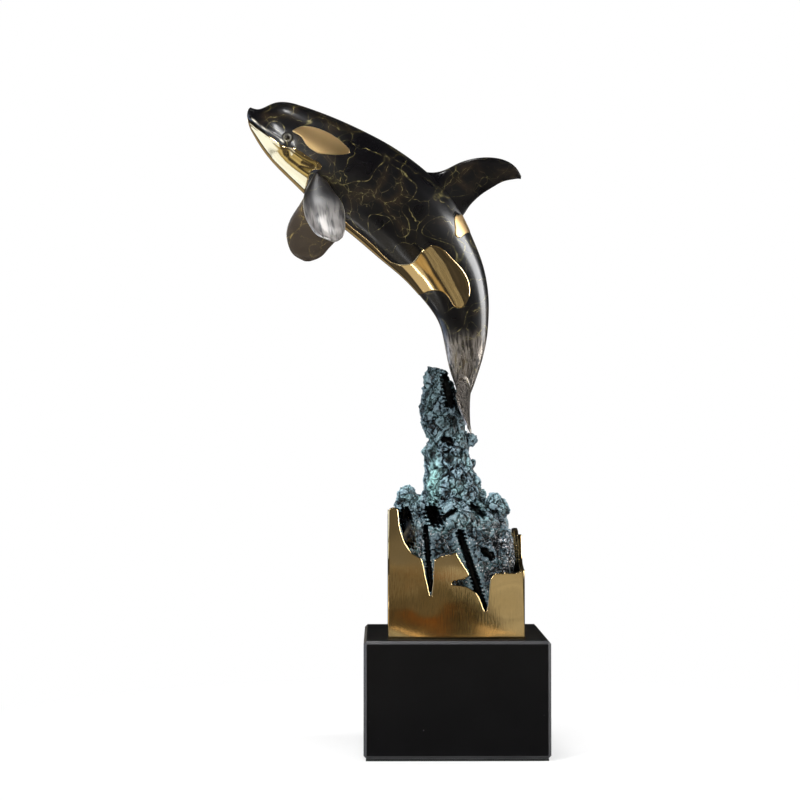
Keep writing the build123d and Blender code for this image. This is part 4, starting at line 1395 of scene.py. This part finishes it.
@dataclass
class OrcaBody:
    """The cast body with its lips, eyelids and eyes."""

    skin: OrcaSkin
    lengthwise: int = 330
    around: int = 160
    eye_radius: float = 2.3
    eye_sink: float = 0.7

    def build(self, patina: bpy.types.Material) -> None:
        """Models the body and its eyes, and dresses them."""
        points, out = self.skin.rows(self.lengthwise, self.around)
        flat, normals = points.reshape(-1, 3), out.reshape(-1, 3)
        piece = make_mesh("orca_skin", flat, ring_faces(len(points), self.around))
        # The lip and eyelid lines are a painted highlight in the patina's pale line colour
        shares = self.skin.rubbed(flat - self.skin.origin)
        for name, share in zip(("edge_wear", "calm"), shares):
            piece.data.attributes.new(name, "FLOAT", "POINT").data.foreach_set("value", share)
        fit_piece(piece, patina, Slot.PATINA, "orca_body")
        seen = self.skin.as_seen(flat - self.skin.origin)
        eyes = bmesh.new()
        for side in Side.LEFT, Side.RIGHT:
            far = np.hypot(*(seen - self.skin.eye).T) + np.where(flat[:, 1] * side.value > 0, 0, 1e6)
            spot = far.argmin()
            middle = (flat[spot] - normals[spot] * self.eye_sink) * MM
            ball = bmesh.ops.create_uvsphere(
                eyes, u_segments=28, v_segments=16, radius=self.eye_radius * MM
            )["verts"]
            bmesh.ops.translate(eyes, verts=ball, vec=Vector(middle))
        mesh = bpy.data.meshes.new("orca_eyes")
        eyes.to_mesh(mesh)
        eyes.free()
        mesh.shade_smooth()
        beads = bpy.data.objects.new("orca_eyes", mesh)
        bpy.context.scene.collection.objects.link(beads)
        fit_piece(beads, patina, Slot.PATINA)


@dataclass
class BrassInlay:
    """A brass plate let into the skin, cut to an outline seen from the side, with a pillowed edge."""

    node: str
    outline: Sequence[Place]
    side: Side = Side.BOTH
    proud: float = 0.5
    sink: float = 0.6
    pillow: float = 1.1
    thickness: float = 1.4

    def build(self, skin: OrcaSkin, rows: tuple[np.ndarray, np.ndarray], brass: bpy.types.Material) -> None:
        """Cuts the plate from fine rings of the skin and dresses it.

        Args:
            skin: The orca's skin.
            rows: Fine rings of it and the way out at each point.
            brass: The finish.
        """
        points, out = rows
        count, around = points.shape[:2]
        flat, normals = points.reshape(-1, 3), out.reshape(-1, 3)
        outline = closed_outline(self.outline)
        places = skin.as_seen(flat - skin.origin)
        near = ((places > outline.min(0) - 3) & (places < outline.max(0) + 3)).all(1)
        depth = np.full(len(flat), -1.0)
        depth[near] = depth_inside(places[near], outline)
        if self.side is not Side.BOTH:
            depth[flat[:, 1] * self.side.value <= 0] = -1.0
        start = (np.arange(count - 1)[:, None] * around + np.arange(around)).ravel()
        beside = (np.arange(count - 1)[:, None] * around + (np.arange(around) + 1) % around).ravel()
        quads = np.stack([start, beside, beside + around, start + around], 1)
        quads = quads[(depth[quads] > 0).any(1)]
        kept, faces = self.cut(flat, normals, depth, quads)
        piece = make_mesh(self.node + "_plate", kept, faces)
        wall = piece.modifiers.new("plate", "SOLIDIFY")
        wall.thickness = self.thickness * MM
        wall.offset = -1
        fit_piece(settle(piece), brass, Slot.BRASS, self.node)

    def cut(
        self, flat: np.ndarray, normals: np.ndarray, depth: np.ndarray, quads: np.ndarray
    ) -> tuple[np.ndarray, list[list[int]]]:
        """Keeps what lies inside the outline and lifts it to the plate's rounded face.

        Args:
            flat: Points of the skin.
            normals: The way out at each point.
            depth: How far each point lies inside the outline.
            quads: Faces of the skin with some part inside.

        Returns:
            The plate's points and faces.
        """
        kept: list[np.ndarray] = []
        number: dict[tuple[int, int], int] = {}

        def lifted(a: int, b: int) -> int:
            """The number of the plate's point at a, or where the edge from a to b meets the outline."""
            key = (min(a, b), max(a, b))
            if key not in number:
                share = 0.0 if a == b else depth[a] / (depth[a] - depth[b])
                inside = depth[a] if a == b else 0.0
                curve = min(inside / self.pillow, 1.0)
                lift = (self.proud + self.sink) * math.sqrt(1 - (1 - curve) ** 2) - self.sink
                normal = normals[a] * (1 - share) + normals[b] * share
                number[key] = len(kept)
                kept.append(flat[a] * (1 - share) + flat[b] * share + normal * lift)
            return number[key]

        faces = []
        for quad in quads:
            face = []
            for a, b in zip(quad, np.roll(quad, -1)):
                if depth[a] > 0:
                    face.append(lifted(int(a), int(a)))
                if (depth[a] > 0) != (depth[b] > 0):
                    inner, outer = (a, b) if depth[a] > 0 else (b, a)
                    face.append(lifted(int(inner), int(outer)))
            if len(face) > 2:
                faces.append(face)
        return np.array(kept), faces


@dataclass
class Fin:
    """A fin: a blade through sections given by their front and rear edges and half thickness."""

    name: str
    node: str
    stations: Sequence[tuple[tuple[float, ...], tuple[float, ...], float]]
    thick_way: ThickWay
    lengthwise: int = 110
    around: int = 64
    front_heavy: float = 0.3
    # The pale line along the blade's front and rear edges: edge wear, and partly a painted highlight
    wear_from: float = 0.975
    wear: float = 0.7
    calm: float = 0.0

    def build(self, skin: OrcaSkin, patina: bpy.types.Material) -> None:
        """Models the blade and dresses it.

        Args:
            skin: The orca's skin, for its frame.
            patina: The finish.
        """
        shape = np.array([
            [*(p if len(p) == 3 else (p[0], 0.0, p[1]) for p in (front, rear)), (half, 0.0, 0.0)]
            for front, rear, half in self.stations
        ]).reshape(len(self.stations), 9)
        knots = path_lengths((shape[:, 0:3] + shape[:, 3:6]) / 2)
        shape = natural_cubic(knots, shape, np.linspace(0, knots[-1], self.lengthwise))
        front, rear, half = shape[:, 0:3], shape[:, 3:6], np.maximum(shape[:, 6], 0.3)
        chord = front - rear
        if self.thick_way is ThickWay.ACROSS_BLADE:
            span = np.gradient((front + rear) / 2, axis=0)
            thick = np.cross(chord, span)
        else:
            thick = np.tile(self.thick_way.value, (self.lengthwise, 1))
        thick = thick / np.linalg.norm(thick, axis=1)[:, None] * half[:, None]
        turn = np.arange(self.around) * 2 * math.pi / self.around
        ahead, up = np.cos(turn), np.sin(turn) * (1 + self.front_heavy * np.cos(turn))
        points = ((front + rear) / 2)[:, None] + chord[:, None] / 2 * ahead[None, :, None]
        points = points + thick[:, None] * up[None, :, None] + skin.origin
        piece = make_mesh(self.name, points.reshape(-1, 3), ring_faces(self.lengthwise, self.around))
        wear = self.wear * np.tile(smooth_step(np.abs(ahead), self.wear_from, 1.0), self.lengthwise)
        piece.data.attributes.new("edge_wear", "FLOAT", "POINT").data.foreach_set("value", wear)
        calm = np.full(len(wear), self.calm)
        piece.data.attributes.new("calm", "FLOAT", "POINT").data.foreach_set("value", calm)
        fit_piece(piece, patina, Slot.PATINA, self.node)


@dataclass
class Orca:
    """The orca: body, fins and brass inlays."""

    skin: OrcaSkin = field(default_factory=OrcaSkin)
    fine_rows: int = 520
    fine_around: int = 320
    dorsal: Sequence[tuple[Place, Place, float]] = (
        ((-47.0, 178.3), (-12.0, 122.0), 9.5),
        ((-38.0, 175.2), (-6.0, 128.0), 9.0),
        ((-30.0, 173.8), (-2.0, 133.5), 7.6),
        ((-24.0, 174.2), (1.0, 137.5), 6.3),
        ((-18.5, 175.6), (3.6, 141.5), 5.3),
        ((-6.5, 181.4), (9.4, 148.4), 4.3),
        ((5.4, 185.6), (17.3, 155.1), 3.7),
        ((17.3, 187.4), (26.0, 160.6), 3.2),
        ((26.8, 187.2), (34.0, 165.1), 2.7),
        ((39.3, 183.9), (42.9, 167.4), 2.1),
        ((47.6, 177.4), (48.4, 168.2), 1.4),
        ((51.6, 170.6), (51.2, 168.0), 0.6),
    )
    left_flipper: Sequence[tuple[Spot, Spot, float]] = (
        ((-133.0, -16.0, 177.0), (-124.0, -16.0, 176.0), 6.0),
        ((-134.0, -24.0, 167.0), (-123.5, -24.0, 166.5), 5.4),
        ((-137.5, -32.0, 158.3), (-120.3, -32.0, 159.5), 4.8),
        ((-141.0, -40.0, 149.8), (-114.8, -40.0, 150.5), 4.3),
        ((-141.8, -50.0, 138.1), (-107.6, -50.0, 139.0), 3.8),
        ((-138.3, -60.0, 123.9), (-105.2, -60.0, 123.9), 3.1),
        ((-134.4, -66.0, 116.7), (-105.0, -66.0, 117.5), 2.6),
        ((-129.6, -71.0, 110.5), (-105.4, -71.0, 112.4), 2.1),
        ((-122.0, -75.0, 106.4), (-108.1, -75.0, 106.4), 1.4),
        ((-116.5, -77.0, 104.1), (-111.0, -77.0, 104.3), 0.8),
    )
    right_flipper: Sequence[tuple[Spot, Spot, float]] = (
        ((-136.0, 18.0, 178.0), (-117.0, 18.0, 166.0), 6.0),
        ((-140.8, 34.0, 164.3), (-116.8, 34.0, 157.0), 4.6),
        ((-148.8, 42.0, 150.0), (-113.0, 42.0, 144.0), 4.0),
        ((-157.3, 49.0, 137.7), (-112.0, 49.0, 130.5), 3.4),
        ((-161.5, 55.0, 122.8), (-115.2, 55.0, 118.7), 2.8),
        ((-158.7, 59.0, 110.8), (-123.7, 59.0, 109.7), 2.2),
        ((-151.0, 62.0, 102.8), (-133.6, 62.0, 101.7), 1.5),
        ((-145.5, 63.5, 100.2), (-139.5, 63.5, 99.9), 0.8),
    )
    flukes: Sequence[tuple[Spot, Spot, float]] = (
        ((1.0, -54.5, -53.0), (3.8, -54.5, -61.0), 0.8),
        ((-4.0, -47.0, -40.0), (4.2, -47.0, -59.0), 2.0),
        ((-7.0, -32.0, -25.0), (4.0, -32.0, -55.5), 3.2),
        ((-4.0, -15.0, -12.0), (3.0, -15.0, -49.0), 4.6),
        ((0.0, 0.0, -4.0), (1.0, 0.0, -42.0), 5.6),
        ((0.6, 16.0, -12.5), (2.4, 16.0, -49.0), 4.4),
        ((1.6, 34.0, -28.0), (3.6, 34.0, -55.5), 2.9),
        ((2.4, 48.0, -44.5), (4.0, 48.0, -60.0), 1.6),
        ((3.0, 54.5, -54.5), (3.8, 54.5, -61.5), 0.7),
    )
    eye_patch: Sequence[Place] = (
        (-153.8, 211.1), (-150.4, 213.5), (-144.6, 215.4), (-136.9, 215.0), (-129.1, 213.0), (-121.5, 209.6),
        (-112.7, 204.3), (-105.9, 198.5), (-102.1, 193.7), (-101.9, 191.6), (-105.9, 189.9), (-113.7, 189.2),
        (-122.3, 189.7), (-131.1, 190.8), (-136.9, 194.2), (-142.7, 200.5), (-147.5, 206.8),
    )
    throat: Sequence[Place] = (
        (-199.0, 226.8), (-193.4, 221.9), (-185.1, 214.7), (-175.5, 207.9), (-166.7, 202.1), (-161.7, 197.8),
        (-154.5, 196.7), (-143.2, 191.0), (-133.8, 185.1), (-126.9, 179.1), (-128.2, 176.0),
        (-133.8, 176.0), (-137.0, 173.0), (-139.5, 165.0), (-143.0, 155.0), (-170.0, 160.0),
        (-205.0, 205.0),
    )
    belly: Sequence[Place] = (
        (-119.0, 141.5), (-107.0, 131.5), (-95.0, 121.0), (-78.0, 106.0), (-62.0, 92.5),
        (-53.6, 91.4), (-46.4, 93.2), (-41.1, 99.5), (-34.8, 105.7), (-28.6, 108.9), (-21.4, 107.5),
        (-12.5, 99.5), (-1.8, 87.9), (4.5, 76.2), (5.4, 63.7), (2.7, 56.6), (-2.7, 51.2),
        (-8.0, 53.0), (-12.5, 59.3), (-16.9, 64.6), (-24.1, 67.3), (-30.3, 66.9), (-45.0, 62.0),
        (-75.0, 78.0), (-130.0, 128.0),
    )
    saddle: Sequence[Place] = (
        (-8.0, 135.4), (-1.0, 136.2), (9.0, 136.0), (14.0, 122.0), (4.0, 119.5), (-1.0, 116.2), (-4.5, 114.8),
        (-8.0, 117.2), (-8.3, 123.0), (-8.9, 129.8),
    )

    def build(self) -> None:
        """Models and dresses every piece of the orca."""
        patina = BlackPatina().material()
        soft = BlackPatina(
            "brass_black_patina_satin", black="#151417", rubbed="#bcb7b3", roughness=0.36, specular=0.6,
            coat=1.0, coat_roughness=0.34, rubbed_below=446.0, rubbed_above=490.0, rubbed_roughness=0.42,
            streak=4.4, streak_turn=(-0.7, -0.21, 0.0),
        )
        # A brown copy of the patina for the far flipper, lightened to paint the sheen on it
        brown = BlackPatina(
            "brass_brown_patina_painted_sheen", black="#3a3128", cloud="#574830", bright_vein="#c9ad5e",
            roughness=0.4,
        )
        OrcaBody(self.skin).build(patina)
        for fin, finish in (
            (Fin("dorsal_blade", "dorsal_fin", self.dorsal, ThickWay.SIDEWAYS, wear=0.25, calm=0.6), patina),
            (Fin("left_flipper_blade", "flipper_left", self.left_flipper, ThickWay.ACROSS_BLADE, calm=0.4),
             soft.material()),
            (Fin("right_flipper_blade", "flipper_right", self.right_flipper, ThickWay.ACROSS_BLADE),
             brown.material()),
            (Fin("fluke_blade", "tail_flukes", self.flukes, ThickWay.LENGTHWISE, wear=0.0), patina),
        ):
            fin.build(self.skin, finish)
        mirror = PolishedBrass("brass_inlay_buffed", roughness=0.08, wave=26.0, wave_height=0.25)
        satin = PolishedBrass(
            "brass_inlay_satin", bright="#d7b883", brown="#ceae78", roughness=0.46, wave_height=0.1
        )
        tan = PolishedBrass(
            "brass_inlay_brushed", bright="#b59a70", brown="#ad9064", roughness=0.4, wave_height=0.1
        )
        mirror_brass, satin_brass = mirror.material(), satin.material()
        rows = self.skin.rows(self.fine_rows, self.fine_around)
        for inlay, brass in (
            (BrassInlay("eye_patch_left", self.eye_patch, Side.LEFT, proud=0.3, pillow=0.6), satin_brass),
            (BrassInlay("eye_patch_right", self.eye_patch, Side.RIGHT, proud=0.3, pillow=0.6), satin_brass),
            (BrassInlay("throat_inlay", self.throat, proud=0.35, sink=0.5, pillow=0.6), mirror_brass),
            (BrassInlay("belly_inlay", self.belly, proud=0.35, pillow=0.7), mirror_brass),
            (BrassInlay("saddle_inlay", self.saddle), tan.material()),
        ):
            inlay.build(self.skin, rows, brass)


@dataclass
class Fixings:
    """The hidden rod, nuts, washers, bolts, screws and dowels, which stay as CAD nodes."""

    nodes: Sequence[str] = (
        "base_bolts", "base_washers", "column_screws", "support_rod", "rod_washer", "rod_nut",
        "dorsal_dowels", "flipper_dowels",
    )

    def build(self) -> None:
        """Dresses the fixings in plated steel."""
        dress_nodes(ZincSteel().material(), *self.nodes)


@dataclass(frozen=True)
class Softbox:
    """A soft area lamp."""

    name: str
    place: Spot
    aim: Spot
    size: Place
    power: float

    def build(self) -> None:
        """Adds the lamp, facing its aim. Polished faces see the cards in its place."""
        lamp = bpy.data.lights.new(self.name, "AREA")
        lamp.shape = "RECTANGLE"
        lamp.size, lamp.size_y = (side * MM for side in self.size)
        lamp.energy = self.power
        holder = bpy.data.objects.new(self.name, lamp)
        holder.location = Vector(self.place) * MM
        holder.rotation_euler = (Vector(self.aim) - Vector(self.place)).to_track_quat("-Z", "Y").to_euler()
        holder.visible_glossy = False
        bpy.context.scene.collection.objects.link(holder)


def flat_sheet(
    name: str, finish: str, half_w: float, half_h: float
) -> tuple[bpy.types.Object, bpy.types.NodeTree]:
    """A flat sheet of the studio, and the empty tree of its material.

    Args:
        name: The sheet's name.
        finish: Its material's name.
        half_w: Half its width in metres.
        half_h: Half its height in metres.

    Returns:
        The sheet, facing up at the origin, and its material's tree.
    """
    mesh = bpy.data.meshes.new(name)
    corners = [(-half_w, -half_h, 0), (half_w, -half_h, 0), (half_w, half_h, 0), (-half_w, half_h, 0)]
    mesh.from_pydata(corners, [], [(0, 1, 2, 3)])
    material = bpy.data.materials.new(finish)
    material.use_nodes = True
    material.node_tree.nodes.clear()
    mesh.materials.append(material)
    sheet = bpy.data.objects.new(name, mesh)
    bpy.context.scene.collection.objects.link(sheet)
    return sheet, material.node_tree


@dataclass(frozen=True)
class Flag:
    """A dark or bright studio card that is seen only in reflections."""

    name: str
    place: Spot
    facing: Spot
    size: Place
    upper: str
    lower: str
    strength: float = 1.0
    clutter: float = 0.0
    clutter_size: float = 450.0
    feather: float = 0.0

    def build(self) -> None:
        """Adds the card where only reflections see it."""
        half_w, half_h = (side * MM / 2 for side in self.size)
        card, tree = flat_sheet(self.name, self.name, half_w, half_h)
        card.location = Vector(self.place) * MM
        card.rotation_euler = Vector(self.facing).to_track_quat("Z", "Y").to_euler()
        card.visible_camera = card.visible_diffuse = card.visible_shadow = False
        card.visible_transmission = card.visible_volume_scatter = False
        place = add_node(tree, "ShaderNodeTexCoord").outputs["Object"]
        glow = self.glow(tree, place, half_h)
        if self.feather:
            fade = self.fade(tree, place, (1 / half_w, 1 / half_h, 0.0))
            clear = add_node(tree, "ShaderNodeBsdfTransparent").outputs[0]
            glow = add_node(tree, "ShaderNodeMixShader", {0: fade, 1: glow, 2: clear}).outputs[0]
        add_node(tree, "ShaderNodeOutputMaterial", {"Surface": glow})

    def glow(self, tree: bpy.types.NodeTree, place: Socket, half_h: float) -> Socket:
        """The card's light, with soft blotches where the room is cluttered.

        Args:
            tree: The material's tree.
            place: The place on the card.
            half_h: Half the card's height in metres.

        Returns:
            The light as a shader.
        """
        rise = add_node(tree, "ShaderNodeSeparateXYZ", {0: place}).outputs["Y"]
        share = add_node(
            tree, "ShaderNodeMapRange", {"Value": rise, "From Min": -half_h, "From Max": half_h}
        ).outputs[0]
        tone = add_node(
            tree, "ShaderNodeMix", {0: share, 6: linear(self.lower), 7: linear(self.upper)}, data_type="RGBA"
        ).outputs[2]
        blotch = add_node(
            tree, "ShaderNodeTexNoise",
            {"Vector": place, "Scale": per_metre(self.clutter_size), "Detail": 3.0},
        ).outputs["Fac"]
        level = add_node(
            tree, "ShaderNodeMapRange",
            {"Value": blotch, "From Min": 0.35, "From Max": 0.65,
             "To Min": self.strength * (1 - self.clutter), "To Max": self.strength * (1 + self.clutter)},
        ).outputs[0]
        return add_node(tree, "ShaderNodeEmission", {"Color": tone, "Strength": level}).outputs[0]

    def fade(self, tree: bpy.types.NodeTree, place: Socket, to_share: Spot) -> Socket:
        """How far the card has faded out towards its edge.

        Args:
            tree: The material's tree.
            place: The place on the card.
            to_share: What turns a place into shares of the card's half sides.

        Returns:
            The share faded, from 0 inside to 1 at the edge.
        """
        shares = add_node(
            tree, "ShaderNodeVectorMath", {0: place, 1: to_share}, operation="MULTIPLY"
        ).outputs[0]
        shares = add_node(tree, "ShaderNodeVectorMath", {0: shares}, operation="ABSOLUTE").outputs[0]
        sides = add_node(tree, "ShaderNodeSeparateXYZ", {0: shares}).outputs
        reach = add_node(
            tree, "ShaderNodeMath", {0: sides["X"], 1: sides["Y"]}, operation="MAXIMUM"
        ).outputs[0]
        return add_node(
            tree, "ShaderNodeMapRange", {"Value": reach, "From Min": 1 - self.feather, "From Max": 1.0},
            interpolation_type="SMOOTHSTEP",
        ).outputs[0]


@dataclass
class Studio:
    """A white studio: pale floor, soft lamps, reflection cards and the camera."""

    focal_pixels: float = 1961.5
    # The pixel that the camera's level axis meets
    axis_pixel: Place = (380.0, 441.0)
    floor_side: float = 12000.0
    floor_near: float = 150.0
    floor_far: float = 520.0
    floor_glow: float = 0.55
    ambient: float = 0.35
    white: str = WHITE
    floor_colour: str = "#f2f2f2"
    lamps: Sequence[Softbox] = (
        Softbox("key", (-1300, -1500, 1150), (0, 0, 300), (320, 900), 28.0),
        Softbox("right", (1500, 300, 700), (0, 0, 400), (420, 1300), 20.0),
        Softbox("left_low", (-1400, -350, 350), (-100, 0, 450), (500, 700), 8.0),
        Softbox("top", (-200, -350, 2000), (0, 0, 400), (600, 600), 22.0),
        Softbox("back_fill", (300, 1700, 800), (0, 0, 300), (900, 900), 8.0),
    )
    # A dark room with a few bright panels, which only polished faces see
    cards: Sequence[Flag] = (
        Flag("front_wall", (0, -2600, 1500), (0, 1, 0), (5200, 3000), "#2a2a2a", "#6b665c", clutter=0.6),
        Flag("left_wall", (-2600, 200, 1500), (1, 0, 0), (5600, 3000), "#2a2a2a", "#4a4845"),
        Flag("right_wall", (2600, 200, 1500), (-1, 0, 0), (5600, 3000), "#2a2a2a", "#3c3a38"),
        Flag("ceiling", (0, 200, 3000), DOWN, (5200, 5600), "#232323", "#232323"),
        Flag("dark_floor", (0, 200, 1), UP, (5200, 5600), "#4a4744", "#4a4744", clutter=0.6),
        Flag("floor_right", (185, -1850, 2), UP, (230, 1500), "#c2bcac", "#b0aa9a", 1.0, 0.3, 160),
        Flag("floor_left", (-60, -1950, 2), UP, (260, 1300), "#8d826c", "#6f6656", 1.0, 0.5, 110),
        Flag("floor_low", (15, -1345, 3), UP, (200, 420), "#5a5240", "#4a4232", 1.0, 0.5, 90, 0.25),
        Flag("floor_dark", (70, -1640, 4), UP, (60, 1100), "#3a3a2c", "#25241b", 1.0, 0.4, 120, 0.6),
        Flag("floor_fold", (-37, -1750, 4), UP, (30, 1300), "#3a3122", "#3a3122", 1.0, 0.4, 120, 0.5),
        Flag("rust_card", (50, -2200, 4), UP, (60, 420), "#a07040", "#a07040", 0.8, feather=0.7),
        Flag("warm_card", (4, -1345, 4), UP, (70, 330), "#a8662c", "#8f5a28", 0.7, feather=0.8),
        Flag("foot_line", (40, -1118, 4), UP, (190, 44), "#ffd9a0", "#ffd9a0", 1.5, feather=0.3),
        Flag("flank_floor", (60, -880, 2), UP, (330, 420), "#a39d8c", "#8f8a7c", 1.0, 0.8, 70),
        Flag("flank_gold", (-185, -440, 3), UP, (170, 340), "#f0d8a8", "#dcbf88", 0.75, 0.3, 60, 0.3),
        Flag("flank_line", (-316, -204, 4), UP, (38, 64), WHITE, WHITE, 5.0),
        Flag("flank_line_low", (-349, -268, 4), UP, (38, 72), WHITE, WHITE, 5.0),
        Flag("table_front", (-390, -120, 2), UP, (300, 520), "#efe6d2", "#efe6d2", 0.85, feather=0.2),
        Flag("flank_glint", (-515, 20, 3), UP, (50, 110), WHITE, WHITE, 7.0, feather=0.7),
        Flag("lobe_floor", (-1150, -1200, 3), UP, (1300, 1150), "#9c9674", "#8c8664", 1.0, 0.4, 300, 0.2),
        Flag("throat_floor", (-1180, -270, 4), UP, (700, 440), "#cfc9a6", "#b4ae88", 1.1, 0.3, 200, 0.3),
        Flag("left_floor", (-955, 425, 5), UP, (390, 1050), "#c8dcff", "#c8dcff", 2.4, 0.1, 200),
        Flag(
            "left_panel", (-1150, 250, 330), (1, 0, 0), (1150, 660), "#c8dcff", "#c8dcff", 2.4, feather=0.15
        ),
        Flag(
            "left_far", (-1560, -640, 330), (0.91, 0.42, 0), (800, 660), "#d8e4ff", "#c8d4ee", 1.4, feather=0.3
        ),
        Flag(
            "key_panel", (-1390, -1580, 980), (0.65, 0.74, -0.2), (300, 620), WHITE, WHITE, 32.0, feather=0.3
        ),
        Flag(
            "right_panel", (1500, -200, 650), (-1, 0.1, -0.1), (1000, 1300), WHITE, WHITE, 16.0, feather=0.3
        ),
        Flag("top_strip", (-190, -310, 1900), DOWN, (220, 320), WHITE, WHITE, 24.0, 0.4, 160, 0.5),
        Flag("front_high", (-450, -2500, 2350), (0, 1, -0.4), (900, 800), "#b8b0a4", "#b8b0a4", 1.0),
        Flag("jaw_back", (-480, 650, 420), (0, -1, 0), (660, 660), "#a0957c", "#a0957c", 1.0, feather=0.3),
        Flag("low_back", (0, 700, 450), (0, -1, 0), (1800, 900), "#3a3a3a", "#1c1c1c"),
        Flag("back_right", (1775, 3000, 1500), (0, -1, 0), (1650, 3000), "#2c2b2a", "#2c2b2a"),
        Flag("back_left", (-1775, 3000, 1500), (0, -1, 0), (1650, 3000), "#2c2b2a", "#4a4845"),
        Flag("back_top", (0, 3000, 2125), (0, -1, 0), (1900, 1750), "#2c2b2a", "#2c2b2a"),
    )

    def rays(self, tree: bpy.types.NodeTree) -> Socket:
        """How much of a ray sees the white background: camera, glossy and transmission rays."""
        path = add_node(tree, "ShaderNodeLightPath").outputs
        seen = add_node(
            tree, "ShaderNodeMath", {0: path["Is Camera Ray"], 1: path["Is Glossy Ray"]}, operation="MAXIMUM"
        ).outputs[0]
        return add_node(
            tree, "ShaderNodeMath", {0: seen, 1: path["Is Transmission Ray"]}, operation="MAXIMUM"
        ).outputs[0]

    def build_world(self) -> None:
        """A white world to look at, and a softer one to light by."""
        world = bpy.data.worlds.new("white_studio")
        world.use_nodes = True
        tree = world.node_tree
        tree.nodes.clear()
        seen, light = (
            add_node(
                tree, "ShaderNodeBackground", {"Color": linear(self.white), "Strength": level}
            ).outputs[0]
            for level in (1.0, self.ambient)
        )
        mixed = add_node(tree, "ShaderNodeMixShader", {0: self.rays(tree), 1: light, 2: seen}).outputs[0]
        add_node(tree, "ShaderNodeOutputWorld", {"Surface": mixed})
        bpy.context.scene.world = world

    def build_floor(self) -> None:
        """A pale floor that keeps the figurine's shadow and fades into the white background."""
        half = self.floor_side * MM / 2
        floor, tree = flat_sheet("studio_floor", "studio_paper", half, half)
        place = add_node(tree, "ShaderNodeTexCoord").outputs["Object"]
        away = add_node(tree, "ShaderNodeVectorMath", {0: place}, operation="LENGTH").outputs["Value"]
        fade = add_node(
            tree, "ShaderNodeMapRange",
            {"Value": away, "From Min": self.floor_near * MM, "From Max": self.floor_far * MM,
             "To Min": self.floor_glow},
            interpolation_type="SMOOTHSTEP",
        ).outputs[0]
        share = add_node(
            tree, "ShaderNodeMath", {0: fade, 1: self.rays(tree)}, operation="MULTIPLY"
        ).outputs[0]
        paper = add_node(tree, "ShaderNodeBsdfDiffuse", {"Color": linear(self.floor_colour)}).outputs[0]
        glow = add_node(tree, "ShaderNodeEmission", {"Color": linear(self.white), "Strength": 1.0}).outputs[0]
        mixed = add_node(tree, "ShaderNodeMixShader", {0: share, 1: paper, 2: glow}).outputs[0]
        add_node(tree, "ShaderNodeOutputMaterial", {"Surface": mixed})

    def build_camera(self) -> None:
        """The camera at the photograph's place, turned so that its axis pixel looks level."""
        lens = bpy.data.cameras.new("camera")
        lens.sensor_width = 36.0
        lens.lens = self.focal_pixels / IMAGE_SIDE * lens.sensor_width
        camera = bpy.data.objects.new("camera", lens)
        camera.location = Vector(CAMERA) * MM
        right = math.atan((IMAGE_SIDE / 2 - self.axis_pixel[0]) / self.focal_pixels)
        up = math.atan((self.axis_pixel[1] - IMAGE_SIDE / 2) / self.focal_pixels)
        camera.rotation_euler = (math.pi / 2 + up, 0.0, -right)
        bpy.context.scene.collection.objects.link(camera)
        bpy.context.scene.camera = camera

    def build(self) -> None:
        """Sets up the whole studio."""
        bpy.context.scene.view_settings.view_transform = "Standard"
        self.build_world()
        self.build_floor()
        for item in (*self.lamps, *self.cards):
            item.build()
        self.build_camera()


def main() -> None:
    """Builds the figurine and its studio."""
    logging.basicConfig(level=logging.INFO, format="%(name)s: %(message)s")
    Studio().build()
    Plinth().build()
    BrassBlock().build()
    WaterColumn().build()
    Orca().build()
    Fixings().build()


if __name__ == "__main__":
    main()
